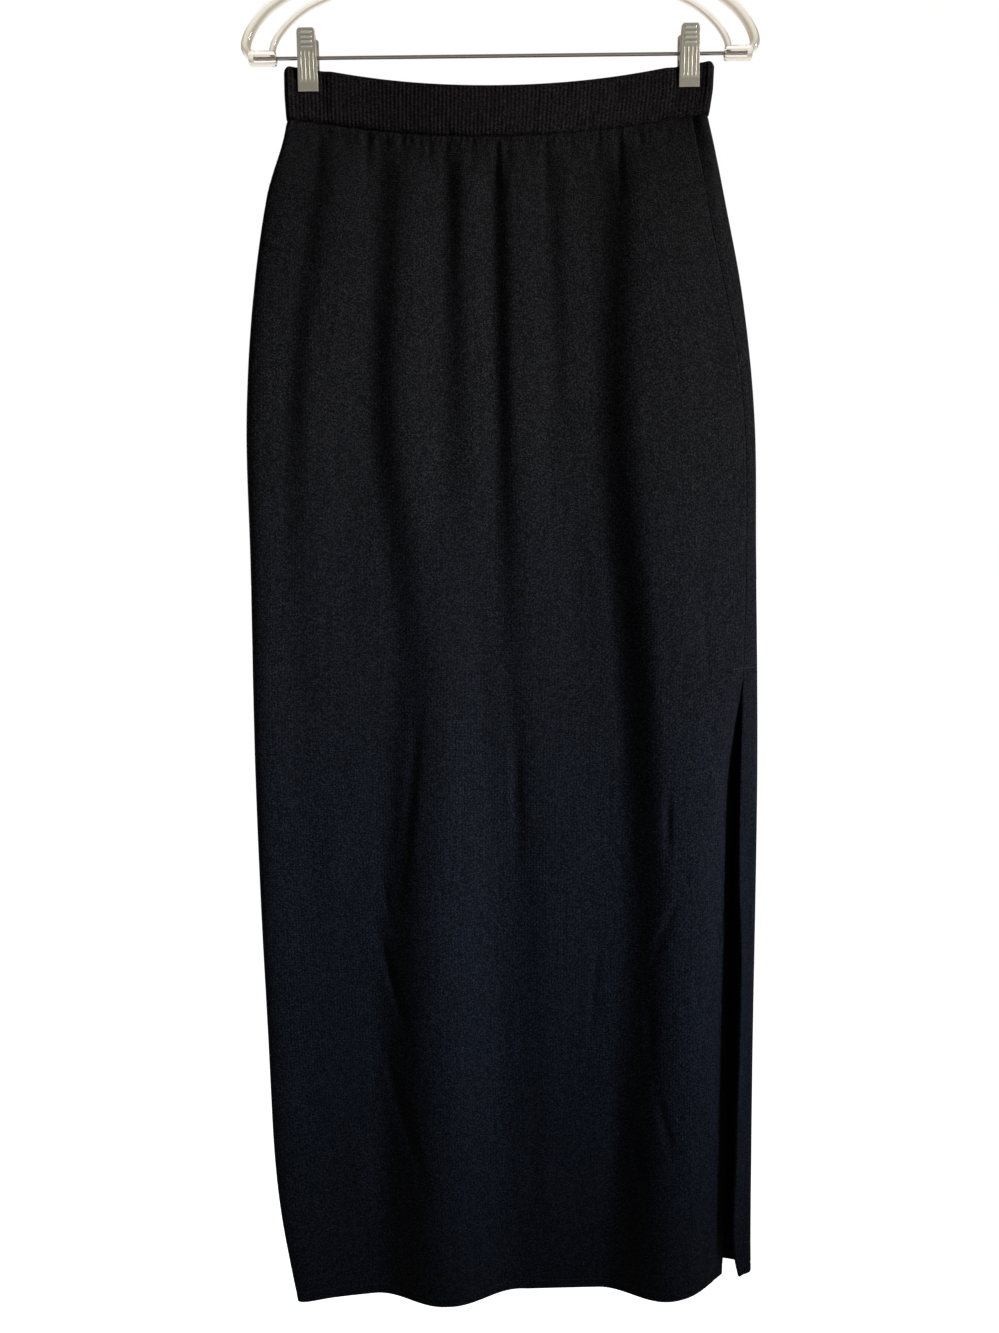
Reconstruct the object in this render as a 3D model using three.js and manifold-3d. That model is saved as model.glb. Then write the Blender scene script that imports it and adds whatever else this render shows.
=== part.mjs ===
// A long black knit skirt with a ribbed waistband, hung by two clips from a clear skirt hanger.
// Millimetres, +Z up. The front faces -Y. The origin is where the hook hangs on its rail.
import * as THREE from "three";
import { mergeVertices } from "three/addons/utils/BufferGeometryUtils.js";
import Module from "manifold-3d";

const wasm = await Module();
wasm.setup();
const { clamp, degToRad, lerp, smoothstep } = THREE.MathUtils;

// Clearance where pieces are sewn together or touch
const GAP = 0.3;

// Hanger: the rod's axis is the level that all other heights are measured from
const ROD_BELOW_SEAT = 180;
const ROD_RADIUS = 1.3;
const ROD_HALF = 185;
const OUTER_RAIL = { halfDepth: 4, halfWidth: 3.7, sides: 10, steps: 30 };
const INNER_RAIL = { halfDepth: 3, halfWidth: 2.4, sides: 8, steps: 26 };
const SOCKET = { inner: 168.5, outer: 189, radius: 5.2 };
const NECK = { halfFoot: 22, halfTop: 17.6, bottom: 86, top: 107, depth: 7 };
const BOSS = { radius: 6, bottom: 100, top: 118 };
const HOOK = { wire: 1.8, radius: 22, foot: 106, sides: 8, steps: 32 };
const HOOK_SHOULDER = { x: 2.6, aboveBoss: 10 };
const HOOK_CROOK = { from: -25, to: 205, step: 23 };

// Half of each rail's centre line, from the neck out to the socket
const OUTER_RAIL_LINE = [
  { x: 0, z: 107 },
  { x: 24, z: 103 },
  { x: 90, z: 75.5 },
  { x: 150, z: 49 },
  { x: 175, z: 34 },
  { x: 188, z: 18 },
  { x: 191, z: 7 },
  { x: 185, z: 0.5 },
];
const INNER_RAIL_LINE = [
  { x: 0, z: 90 },
  { x: 24, z: 86 },
  { x: 90, z: 58 },
  { x: 130, z: 42 },
  { x: 146, z: 34.5 },
  { x: 161, z: 22.5 },
  { x: 169.5, z: 11 },
  { x: 172.5, z: 1 },
];

// Clips: two bent plates on the rod, with ribbed fronts and cheeks that the rod passes through
const CLIP_X = { left: -144.5, right: 141.5 };
const CLIP = {
  top: 17.5,
  bend: -19.5,
  foot: -25.5,
  topWidth: 13.4,
  footWidth: 15.4,
  sheet: 0.9,
  corner: 2.5,
};
const CLIP_TOP_STANDS_OFF = 10.5;
const CLIP_RIBS = { count: 4, pitch: 3, width: 1, raised: 0.5, top: 2.5, bottom: -18 };
const CLIP_BARS = { count: 4, pitch: 3.2, width: 8.6, height: 1, raised: 0.5, lowest: 5.2 };
const RELIEF_SIDES = 6;
const CHEEK = { radius: 4.4, above: 7, below: 9, frontPlace: 6.45, backPlace: 5.25 };
const SPRING = { outer: 3.1, half: 4.4 };

// Waistband: doubled rib, pinched flat in the clips, bowed out and sagging between them
const BAND_TOP = -8.5;
const BAND_HEIGHT = 36;
const BAND_WALL = 3.6;
const BAND_SAG = { top: 20.5, seam: 17.5, power: 1.5 };
const BAND_BOW = { out: 10, half: 130 };
const BAND_FOLD_RADIUS = 6;
const BAND_CORNER = { drop: 3, reach: 6 };
const BAND_RIBS = { count: 110, depth: 0.8, insideColumns: 55 };
const GRIP_OUT = BAND_WALL + GAP / 2;
const GRIP = { flat: 9, reach: 19 };

// Rows of the waistband. level: 0 at the waist seam, 1 at the top; pinch: how much of the grip it feels
const BAND_ROWS = [
  { level: 1, half: 161, mid: -1.5, pinch: 1 },
  { level: 0.5, half: 161, mid: -2, pinch: 1 },
  { level: 0, half: 160, mid: -2.8, pinch: 0.3 },
];

// Body of the skirt, from the waist seam down
const SEAM = BAND_TOP - BAND_HEIGHT;
const BODY_LENGTH = 944;
const BODY_WALL = 1.6;
const BODY_UNDER_BAND = 1;
const WAIST_BLEND = 60;
const SEAM_WRAP = 20;
const HEM_FOLD = BODY_LENGTH - 9.5;
const HEM_EASE = 1.5;
const LOOP_STEPS = 720;

// The hanging tube. drop: below the waist seam; half: half its width; mid: its middle, to the right;
// front and back: how far the cloth stands off the side folds; leftY and rightY: where those folds lie
const SECTIONS = [
  { drop: 0, half: 159, mid: -2.8, front: 14, back: 14, leftY: 0, rightY: 0 },
  { drop: 15, half: 163.2, mid: -3.3, front: 15, back: 15, leftY: 0, rightY: 0 },
  { drop: 58, half: 173.8, mid: -5, front: 18, back: 18, leftY: 0, rightY: 0 },
  { drop: 132, half: 187.7, mid: -4, front: 21, back: 20, leftY: 0, rightY: 0 },
  { drop: 222, half: 197.5, mid: -3.1, front: 23, back: 22, leftY: 0, rightY: 0 },
  { drop: 330, half: 199.8, mid: -2.2, front: 23, back: 23, leftY: 0, rightY: 0 },
  { drop: 510, half: 203, mid: -1.4, front: 21, back: 24, leftY: 0, rightY: 0 },
  { drop: 715, half: 201.8, mid: -0.6, front: 18, back: 24, leftY: -3, rightY: 0 },
  { drop: 857, half: 200.5, mid: 1.8, front: 15, back: 23, leftY: -9, rightY: 1 },
  { drop: 944, half: 195, mid: 8.5, front: 12, back: 22, leftY: -19, rightY: 2 },
];
// 2 would make each section an ellipse; more gives a flatter front with tighter side folds
const SQUARENESS = 3.5;
// How close to the left fold its turn to the front at the hem stays
const LEFT_TURN = 4;
// How close to the side folds the long folds and gathers run before they fade
const RELIEF_FADE = 8;

// Long folds at five levels. crest: where the ridge runs; height: how far it stands out;
// left and right: the widths of its two flanks
const FOLD_LEVELS = [40, 220, 400, 600, 944];
const FRONT_FOLDS = [
  {
    crest: [-120, -122, -126, -130, -130], height: [4, 5, 3, 0, 0],
    left: [30, 32, 32, 32, 32], right: [36, 42, 42, 42, 42],
  },
  {
    crest: [-70, -69, -54, -58, -56], height: [7, 8, 7, 13, 21],
    left: [26, 30, 28, 32, 52], right: [38, 44, 50, 54, 66],
  },
  {
    crest: [-25, -27, -28, -28, -28], height: [6, 5, 3, 0, 0],
    left: [16, 24, 34, 34, 34], right: [24, 26, 30, 30, 30],
  },
  {
    crest: [11, 15, 22, 30, 30], height: [5, 5, 3, 2.5, 0],
    left: [18, 22, 26, 28, 28], right: [34, 40, 45, 45, 45],
  },
  {
    crest: [46, 48, 50, 50, 50], height: [2.5, 1.5, 0, 0, 0],
    left: [14, 16, 16, 16, 16], right: [22, 24, 24, 24, 24],
  },
  {
    crest: [104, 108, 116, 134, 128], height: [7, 12, 13, 12, 20],
    left: [30, 38, 40, 36, 50], right: [56, 64, 64, 54, 60],
  },
  {
    crest: [78, 78, 78, 78, 76], height: [0, 0, 0, 2.5, 3],
    left: [18, 18, 18, 20, 24], right: [22, 22, 22, 22, 24],
  },
  {
    crest: [-160, -165, -168, -170, -172], height: [0, 0, 0, 0, 4],
    left: [20, 20, 20, 20, 20], right: [45, 45, 45, 45, 45],
  },
];
const BACK_FOLDS = [
  {
    crest: [128, 138, 143, 146, 150], height: [4, 6, 5, 3, 2],
    left: [30, 35, 39, 40, 40], right: [18, 20, 22, 24, 24],
  },
  {
    crest: [58, 49, 44, 40, 32], height: [6, 10, 11, 12, 17],
    left: [34, 46, 54, 60, 74], right: [20, 24, 27, 30, 56],
  },
  {
    crest: [4, -3, -6, -8, -8], height: [4, 3, 1, 0, 0],
    left: [24, 28, 28, 28, 28], right: [14, 16, 17, 18, 18],
  },
  {
    crest: [-58, -65, -74, -84, -92], height: [5, 9, 10, 11, 18],
    left: [20, 24, 27, 30, 60], right: [36, 45, 50, 52, 62],
  },
  {
    crest: [-124, -136, -143, -150, -154], height: [4, 5, 4, 2, 0],
    left: [18, 20, 20, 20, 20], right: [30, 36, 38, 40, 40],
  },
];

// Gathers under the waist seam. x: where the tuck lies; depth: how far it sinks; reach: how far it runs down
const FRONT_GATHERS = [
  { x: -132, depth: 1.8, reach: 46 },
  { x: -113, depth: 1.4, reach: 34 },
  { x: -96, depth: 2.4, reach: 62 },
  { x: -74, depth: 2.6, reach: 76 },
  { x: -51, depth: 2.0, reach: 44 },
  { x: -34, depth: 2.5, reach: 80 },
  { x: -16, depth: 1.5, reach: 38 },
  { x: 3, depth: 2.6, reach: 74 },
  { x: 21, depth: 1.9, reach: 50 },
  { x: 40, depth: 2.2, reach: 56 },
  { x: 58, depth: 1.6, reach: 40 },
  { x: 76, depth: 2.4, reach: 66 },
  { x: 94, depth: 2.6, reach: 84 },
  { x: 118, depth: 1.8, reach: 48 },
];
const BACK_GATHERS = [
  { x: 130, depth: 1.6, reach: 42 },
  { x: 110, depth: 2.2, reach: 64 },
  { x: 88, depth: 2.5, reach: 58 },
  { x: 68, depth: 1.5, reach: 36 },
  { x: 50, depth: 2.4, reach: 78 },
  { x: 29, depth: 2.0, reach: 48 },
  { x: 11, depth: 2.6, reach: 70 },
  { x: -9, depth: 1.7, reach: 44 },
  { x: -28, depth: 2.3, reach: 60 },
  { x: -48, depth: 2.6, reach: 82 },
  { x: -71, depth: 1.8, reach: 40 },
  { x: -90, depth: 2.2, reach: 66 },
  { x: -112, depth: 2.0, reach: 52 },
  { x: -133, depth: 1.5, reach: 38 },
];
const GATHER_HALF_WIDTH = 9;
const GATHER_START = 10;
const GATHER_AT_SEAM = 0.3;

// Slit down the right side seam. below: under its top; the rest: how its two edges move off the seam line
const SLIT_TOP = 428;
const SLIT = [
  { below: 0, frontX: 0, frontY: 0, backX: 0, backY: 0 },
  { below: 80, frontX: -9, frontY: 13, backX: 0, backY: 3 },
  { below: 230, frontX: -10, frontY: 17, backX: 0, backY: 5 },
  { below: 400, frontX: -12, frontY: 19, backX: 1, backY: 4 },
  { below: 516, frontX: -12, frontY: 19, backX: 5, backY: 2 },
];
const SLIT_CURL = { front: 42, back: 30 };
const SLIT_TURN = 10;

// Each panel is made in three lengths that meet edge to edge: where their rows lie below the waist seam.
// Down to the end of the gathers a row has twice as many columns
const PANEL_LENGTHS = {
  hip: [0, 8, 24, 52, 90, 150, 220, 300],
  thigh: [300, 375, SLIT_TOP, 480, 560, 640],
  hem: [640, 720, 800, 870, HEM_FOLD - HEM_EASE, HEM_FOLD, BODY_LENGTH],
};
const GATHERED_TO = 90;
const FOLD_STRETCH = 44;
const FOLD_COLUMNS = 8;
const FLAT_COLUMNS = 32;

// Reads a table's values smoothly between its places
function smoothColumn(places, values) {
  const curve = new THREE.CubicInterpolant(places, values, 1);
  return (place) => curve.evaluate(place)[0];
}

// Reads every column of a table by name, against its first column
function smoothTable(rows, along) {
  const places = rows.map((row) => row[along]);
  const columns = {};
  for (const name of Object.keys(rows[0])) {
    columns[name] = smoothColumn(places, rows.map((row) => row[name]));
  }
  return columns;
}

const section = smoothTable(SECTIONS, "drop");
const slit = smoothTable(SLIT, "below");
const foldColumns = (fold) => ({
  crest: smoothColumn(FOLD_LEVELS, fold.crest),
  height: smoothColumn(FOLD_LEVELS, fold.height),
  left: smoothColumn(FOLD_LEVELS, fold.left),
  right: smoothColumn(FOLD_LEVELS, fold.right),
});
const sides = {
  front: { folds: FRONT_FOLDS.map(foldColumns), gathers: FRONT_GATHERS },
  back: { folds: BACK_FOLDS.map(foldColumns), gathers: BACK_GATHERS },
};

// 1 at the middle of a bump, falling softly to 0 at its edge
function bump(distance, reach) {
  return Math.cos((Math.PI / 2) * Math.min(Math.abs(distance) / reach, 1)) ** 2;
}

// How much lower the waist hangs between the clips. across: -1 at the left fold, 1 at the right
function sag(across, depth) {
  return depth * (1 - across * across) ** BAND_SAG.power;
}

// How far the waist stands off the plane of its side folds
function waistDepth(x, half, mid, radius, pinch) {
  const fromFold = half - Math.abs(x - mid);
  const round = Math.sqrt(Math.max(radius ** 2 - Math.max(radius - fromFold, 0) ** 2, 0));
  const bow = BAND_BOW.out * Math.max(1 - (x / BAND_BOW.half) ** 2, 0) ** 2;
  const fromClip = Math.abs(x - (x < 0 ? CLIP_X.left : CLIP_X.right));
  const held = 1 - smoothstep(fromClip, GRIP.flat, GRIP.reach);
  return round + bow - held * pinch * (BAND_FOLD_RADIUS - GRIP_OUT);
}

// How far the long folds stand out at a place
function foldRelief(side, x, drop) {
  let relief = 0;
  for (const fold of side.folds) {
    const off = x - fold.crest(drop);
    const reach = off < 0 ? fold.left(drop) : fold.right(drop);
    relief += Math.max(fold.height(drop), 0) * bump(off, reach);
  }
  return relief * smoothstep(drop, 0, FOLD_LEVELS[0]);
}

// How far the gathers sink at a place
function gatherRelief(side, x, drop) {
  let relief = 0;
  for (const { x: place, depth, reach } of side.gathers) {
    const start = lerp(GATHER_AT_SEAM, 1, smoothstep(drop, 0, GATHER_START));
    const run = start * (1 - smoothstep(drop, GATHER_START, reach));
    relief -= depth * run * bump(x - place, GATHER_HALF_WIDTH);
  }
  return relief;
}

// The outer line of the hanging tube at one height, from the left fold round the front and the back
function bodyLoop(drop) {
  const half = section.half(drop);
  const mid = section.mid(drop);
  const hip = smoothstep(drop, 0, WAIST_BLEND);
  const radius = BAND_FOLD_RADIUS - BODY_UNDER_BAND;
  const pinch = BAND_ROWS.at(-1).pinch;
  return Array.from({ length: LOOP_STEPS }, (_, i) => {
    const turn = (2 * Math.PI * i) / LOOP_STEPS;
    const across = -Math.cos(turn);
    const facing = turn < Math.PI ? "front" : "back";
    const x = mid + half * across;
    const flat = Math.max(1 - Math.abs(across) ** SQUARENESS, 0) ** (1 / SQUARENESS);
    const waist = waistDepth(x, half, mid, radius, pinch);
    const relief = foldRelief(sides[facing], x, drop) + gatherRelief(sides[facing], x, drop);
    const depth = lerp(waist, section[facing](drop) * flat, hip) + relief * (1 - across ** RELIEF_FADE);
    const fold = lerp(section.rightY(drop), section.leftY(drop), ((1 - across) / 2) ** LEFT_TURN);
    return new THREE.Vector2(x, facing === "front" ? fold - depth : fold + depth);
  });
}

// The outer line of the waistband at one of its rows
function bandLoop({ half, mid, pinch }) {
  return Array.from({ length: LOOP_STEPS }, (_, i) => {
    const turn = (2 * Math.PI * i) / LOOP_STEPS;
    const x = mid - half * Math.cos(turn);
    const depth = waistDepth(x, half, mid, BAND_FOLD_RADIUS, pinch);
    return new THREE.Vector2(x, turn < Math.PI ? -depth : depth);
  });
}

// The front or back stretch of a closed line: how long it is, and the point at a length along it
function stretchOf(loop, facing) {
  const lengths = [0];
  for (let i = 1; i <= loop.length; i++) {
    lengths.push(lengths[i - 1] + loop[i % loop.length].distanceTo(loop[i - 1]));
  }
  const whole = lengths.at(-1);
  const front = lengths[loop.length / 2];
  const start = (facing === "front" ? 0 : front) - SEAM_WRAP + GAP / 2;
  const at = (place) => {
    const target = (start + place + whole) % whole;
    const i = lengths.findIndex((length) => length > target) - 1;
    const share = (target - lengths[i]) / (lengths[i + 1] - lengths[i]);
    return loop[i].clone().lerp(loop[(i + 1) % loop.length], share);
  };
  return { length: (facing === "front" ? front : whole - front) - GAP, at };
}

// The point that lies some depth inside a line, square to the way the line runs there
function pointInside(at, place, depth) {
  const along = at(place + 1).sub(at(place - 1)).normalize();
  return at(place).addScaledVector(new THREE.Vector2(-along.y, along.x), depth);
}

// Triangles between two rows of points, which may differ in number
function strip(faces, upper, lower) {
  let i = 0;
  let j = 0;
  while (i < upper.length - 1 || j < lower.length - 1) {
    const upperNext = (i + 1) / (upper.length - 1);
    const lowerNext = (j + 1) / (lower.length - 1);
    if (upperNext <= lowerNext) {
      faces.push(upper[i], lower[j], upper[i + 1]);
      i += 1;
    } else {
      faces.push(upper[i], lower[j], lower[j + 1]);
      j += 1;
    }
  }
}

// A closed wall of cloth between an outer and an inner set of rows, listed from the top down
function clothWall(outerRows, innerRows) {
  const positions = [];
  const faces = [];
  const number = (rows) => rows.map((row) => row.map((point) => positions.push(...point) / 3 - 1));
  const outer = number(outerRows);
  const inner = number(innerRows);
  for (let k = 1; k < outer.length; k++) {
    strip(faces, outer[k - 1], outer[k]);
    strip(faces, inner[k], inner[k - 1]);
  }
  strip(faces, inner[0], outer[0]);
  strip(faces, outer.at(-1), inner.at(-1));
  strip(faces, outer.map((row) => row[0]), inner.map((row) => row[0]));
  strip(faces, inner.map((row) => row.at(-1)), outer.map((row) => row.at(-1)));
  const geometry = new THREE.BufferGeometry();
  geometry.setAttribute("position", new THREE.Float32BufferAttribute(positions, 3));
  geometry.setIndex(faces);
  geometry.computeVertexNormals();
  return geometry;
}

// Columns along a panel, closer together round its wrapped side fold
function panelPlaces(stretch, fineness) {
  const foldCount = FOLD_COLUMNS * fineness;
  const flatCount = FLAT_COLUMNS * fineness;
  const round = Array.from({ length: foldCount }, (_, i) => (FOLD_STRETCH * i) / foldCount);
  const flat = Array.from({ length: flatCount + 1 }, (_, i) => (
    FOLD_STRETCH + ((stretch - FOLD_STRETCH) * i) / flatCount
  ));
  return [...round, ...flat];
}

// One row of a panel: its outer and inner points
function panelRow(facing, drop) {
  const seam = stretchOf(bodyLoop(drop), facing);
  const places = panelPlaces(seam.length, drop <= GATHERED_TO ? 2 : 1);
  const below = drop - SLIT_TOP;
  const move = new THREE.Vector2(slit[`${facing}X`](below), slit[`${facing}Y`](below));
  const fromSlit = (place) => (facing === "front" ? seam.length - place : place);
  const curl = (place) => Math.max(1 - fromSlit(place) / SLIT_CURL[facing], 0) ** 2;
  const at = (place) => seam.at(place).addScaledVector(move, curl(place));
  const wall = (place) => {
    const turned = drop >= HEM_FOLD || (below > 0 && fromSlit(place) < SLIT_TURN);
    return turned ? 2 * BODY_WALL : BODY_WALL;
  };
  const hang = ({ x, y }) => {
    const across = clamp((x - section.mid(drop)) / section.half(drop), -1, 1);
    const lower = sag(across, BAND_SAG.seam) * (1 - drop / BODY_LENGTH);
    return new THREE.Vector3(x, y, SEAM - GAP - drop - lower);
  };
  return {
    outer: places.map((place) => hang(at(place))),
    inner: places.map((place) => hang(pointInside(at, place, wall(place)))),
  };
}

// One length of a panel, a little short of the length above it
function panel(facing, [top, ...below]) {
  const rows = [top > 0 ? top + GAP : top, ...below].map((drop) => panelRow(facing, drop));
  return clothWall(rows.map((row) => row.outer), rows.map((row) => row.inner));
}

// One row of the waistband: ribs outside, a plain inside
function bandRow(facing, row) {
  const { length, at } = stretchOf(bandLoop(row), facing);
  const evenly = (count) => Array.from({ length: count + 1 }, (_, i) => (length * i) / count);
  const hang = ({ x, y }) => {
    const across = clamp((x - row.mid) / row.half, -1, 1);
    const fromFold = row.half * (1 - Math.abs(across));
    const corner = BAND_CORNER.drop * Math.max(1 - fromFold / BAND_CORNER.reach, 0) ** 2;
    const lower = sag(across, lerp(BAND_SAG.seam, BAND_SAG.top, row.level)) + corner * row.level;
    return new THREE.Vector3(x, y, SEAM + BAND_HEIGHT * row.level - lower);
  };
  const ribbed = evenly(2 * BAND_RIBS.count);
  const plain = evenly(BAND_RIBS.insideColumns);
  return {
    outer: ribbed.map((place, i) => hang(pointInside(at, place, (i % 2) * BAND_RIBS.depth))),
    inner: plain.map((place) => hang(pointInside(at, place, BAND_WALL))),
  };
}

function waistband(facing) {
  const rows = BAND_ROWS.map((row) => bandRow(facing, row));
  return clothWall(rows.map((row) => row.outer), rows.map((row) => row.inner));
}

// Joining and cutting of closed shapes
function solid(geometry) {
  const bare = geometry.clone();
  bare.deleteAttribute("normal");
  bare.deleteAttribute("uv");
  const merged = mergeVertices(bare, 1e-4);
  return new wasm.Manifold(new wasm.Mesh({
    numProp: 3,
    vertProperties: merged.attributes.position.array,
    triVerts: Uint32Array.from(merged.index.array),
  }));
}

function shape(body) {
  const { vertProperties, triVerts } = body.getMesh();
  const geometry = new THREE.BufferGeometry();
  geometry.setAttribute("position", new THREE.BufferAttribute(vertProperties, 3));
  geometry.setIndex(new THREE.BufferAttribute(triVerts, 1));
  geometry.computeVertexNormals();
  return geometry;
}

function ovalSection(halfDepth, halfWidth, sideCount) {
  const oval = new THREE.EllipseCurve(0, 0, halfDepth, halfWidth);
  return new THREE.Shape(oval.getPoints(sideCount).slice(0, -1));
}

// A cylinder along X, Y or Z between two places on that axis
function barAlong(axis, radius, from, to, sideCount = 16) {
  const bar = new THREE.CylinderGeometry(radius, radius, Math.abs(to - from), sideCount);
  const middle = (from + to) / 2;
  if (axis === "x") {
    return bar.rotateZ(-Math.PI / 2).translate(middle, 0, 0);
  }
  return bar.rotateX(Math.PI / 2).translate(0, 0, middle);
}

// A rail of the hanger: its half line mirrored, and swept from socket to socket
function rail(halfLine, { halfDepth, halfWidth, sides: sideCount, steps }) {
  const left = halfLine.slice(1).reverse().map(({ x, z }) => new THREE.Vector3(-x, 0, z));
  const right = halfLine.map(({ x, z }) => new THREE.Vector3(x, 0, z));
  const path = new THREE.CatmullRomCurve3([...left, ...right]);
  const options = { steps, extrudePath: path, bevelEnabled: false };
  return new THREE.ExtrudeGeometry(ovalSection(halfDepth, halfWidth, sideCount), options);
}

function neckPlate() {
  const outline = new THREE.Shape();
  outline.moveTo(-NECK.halfFoot, NECK.bottom);
  outline.lineTo(NECK.halfFoot, NECK.bottom);
  outline.lineTo(NECK.halfTop, NECK.top);
  outline.lineTo(-NECK.halfTop, NECK.top);
  const plate = new THREE.ExtrudeGeometry(outline, { depth: NECK.depth, bevelEnabled: false });
  return plate.rotateX(Math.PI / 2).translate(0, NECK.depth / 2, 0);
}

function hangerFrame() {
  let frame = solid(rail(OUTER_RAIL_LINE, OUTER_RAIL));
  frame = frame.add(solid(rail(INNER_RAIL_LINE, INNER_RAIL)));
  frame = frame.add(solid(neckPlate()));
  frame = frame.add(solid(barAlong("z", BOSS.radius, BOSS.bottom, BOSS.top)));
  frame = frame.subtract(solid(barAlong("z", HOOK.wire + GAP, HOOK.foot - GAP, BOSS.top + 1)));
  for (const way of [-1, 1]) {
    frame = frame.add(solid(barAlong("x", SOCKET.radius, way * SOCKET.inner, way * SOCKET.outer)));
  }
  for (const way of [-1, 1]) {
    const mouth = way * (SOCKET.inner - 2 * SOCKET.radius);
    frame = frame.subtract(solid(barAlong("x", ROD_RADIUS + GAP, mouth, way * (ROD_HALF + GAP))));
  }
  return shape(frame);
}

// The hook: a straight foot in the neck, then a round crook whose inside top is the origin
function hook() {
  const centre = ROD_BELOW_SEAT - HOOK.radius + HOOK.wire;
  const onCrook = (angle) => new THREE.Vector3(
    HOOK.radius * Math.cos(degToRad(angle)), 0, centre + HOOK.radius * Math.sin(degToRad(angle)),
  );
  const points = [
    new THREE.Vector3(0, 0, HOOK.foot),
    new THREE.Vector3(0, 0, BOSS.top),
    new THREE.Vector3(HOOK_SHOULDER.x, 0, BOSS.top + HOOK_SHOULDER.aboveBoss),
  ];
  for (let angle = HOOK_CROOK.from; angle <= HOOK_CROOK.to; angle += HOOK_CROOK.step) {
    points.push(onCrook(angle));
  }
  const path = new THREE.CatmullRomCurve3(points);
  const options = { steps: HOOK.steps, extrudePath: path, bevelEnabled: false };
  return new THREE.ExtrudeGeometry(ovalSection(HOOK.wire, HOOK.wire, HOOK.sides), options);
}

const CLIP_SLOPE = Math.atan((CLIP_TOP_STANDS_OFF - GRIP_OUT - GAP) / (CLIP.top - CLIP.bend));

// Where the inner face of a clip's plate stands at a height
function plateY(z) {
  return -(GRIP_OUT + GAP + Math.max(z - CLIP.bend, 0) * Math.tan(CLIP_SLOPE));
}

// An upright plate with its inner face at y = 0, from z = 0 up, narrowing and with round top corners
function clipPlate(height, footWidth, topWidth, corner) {
  const foot = footWidth / 2;
  const top = topWidth / 2;
  const outline = new THREE.Shape();
  outline.moveTo(-foot, 0);
  outline.lineTo(foot, 0);
  outline.lineTo(top, height - corner);
  outline.quadraticCurveTo(top, height, top - corner, height);
  outline.lineTo(corner - top, height);
  outline.quadraticCurveTo(-top, height, -top, height - corner);
  const options = { depth: CLIP.sheet, bevelEnabled: false, curveSegments: 4 };
  return new THREE.ExtrudeGeometry(outline, options).rotateX(Math.PI / 2);
}

// The raised ribs and grip bars on a plate that starts at the bend
function clipRelief() {
  const boxes = [];
  const ribDepth = CLIP_RIBS.raised + CLIP.sheet / 2;
  const ribHeight = CLIP_RIBS.top - CLIP_RIBS.bottom;
  for (let i = 0; i < CLIP_RIBS.count; i++) {
    const rib = new THREE.CylinderGeometry(ribDepth, ribDepth, ribHeight, RELIEF_SIDES);
    rib.rotateX(Math.PI / 2);
    rib.scale(CLIP_RIBS.width / ribDepth / 2, 1, 1);
    const x = (i - (CLIP_RIBS.count - 1) / 2) * CLIP_RIBS.pitch;
    boxes.push(rib.translate(x, -CLIP.sheet / 2, CLIP_RIBS.bottom + ribHeight / 2 - CLIP.bend));
  }
  const barDepth = CLIP_BARS.raised + CLIP.sheet / 2;
  for (let i = 0; i < CLIP_BARS.count; i++) {
    const bar = new THREE.CylinderGeometry(barDepth, barDepth, CLIP_BARS.width, RELIEF_SIDES);
    bar.rotateZ(Math.PI / 2);
    bar.scale(1, 1, CLIP_BARS.height / barDepth / 2);
    const z = CLIP_BARS.lowest + i * CLIP_BARS.pitch - CLIP.bend;
    boxes.push(bar.translate(0, -CLIP.sheet / 2, z));
  }
  return boxes;
}

// A cheek of a clip, with the hole that the rod passes through
function clipCheek(x) {
  const outline = new THREE.Shape();
  const insidePlate = CLIP.sheet / 2;
  outline.moveTo(plateY(CHEEK.above) - insidePlate, CHEEK.above);
  outline.lineTo(plateY(-CHEEK.below) - insidePlate, -CHEEK.below);
  outline.lineTo(0, -CHEEK.radius);
  outline.absarc(0, 0, CHEEK.radius, -Math.PI / 2, Math.PI / 2, false);
  const hole = new THREE.Path();
  hole.absarc(0, 0, ROD_RADIUS + GAP, 0, 2 * Math.PI, true);
  outline.holes.push(hole);
  const options = { depth: CLIP.sheet, bevelEnabled: false, curveSegments: 6 };
  const cheek = new THREE.ExtrudeGeometry(outline, options);
  cheek.rotateX(Math.PI / 2).rotateZ(Math.PI / 2);
  return cheek.translate(x - CLIP.sheet / 2, 0, 0);
}

// Half a clip, for the front: lip, sloping plate, relief and two cheeks
function clipHalf(cheekPlace) {
  let upper = solid(clipPlate(CLIP.top - CLIP.bend, CLIP.footWidth, CLIP.topWidth, CLIP.corner));
  for (const raised of clipRelief()) {
    upper = upper.add(solid(raised));
  }
  const tilted = shape(upper).rotateX(CLIP_SLOPE).translate(0, plateY(CLIP.bend), CLIP.bend);
  const overlap = CLIP.sheet;
  const lip = clipPlate(CLIP.bend - CLIP.foot + overlap / 2, CLIP.footWidth, CLIP.footWidth, overlap / 2);
  let half = solid(tilted).add(solid(lip.translate(0, plateY(CLIP.foot), CLIP.foot)));
  for (const way of [-1, 1]) {
    half = half.add(solid(clipCheek(way * cheekPlace)));
  }
  return shape(half);
}

function clipSpring() {
  const ring = new THREE.Shape();
  ring.absarc(0, 0, SPRING.outer, 0, 2 * Math.PI, false);
  const hole = new THREE.Path();
  hole.absarc(0, 0, ROD_RADIUS + GAP, 0, 2 * Math.PI, true);
  ring.holes.push(hole);
  const options = { depth: 2 * SPRING.half, bevelEnabled: false, curveSegments: 8 };
  return new THREE.ExtrudeGeometry(ring, options).rotateY(Math.PI / 2).translate(-SPRING.half, 0, 0);
}

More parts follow.
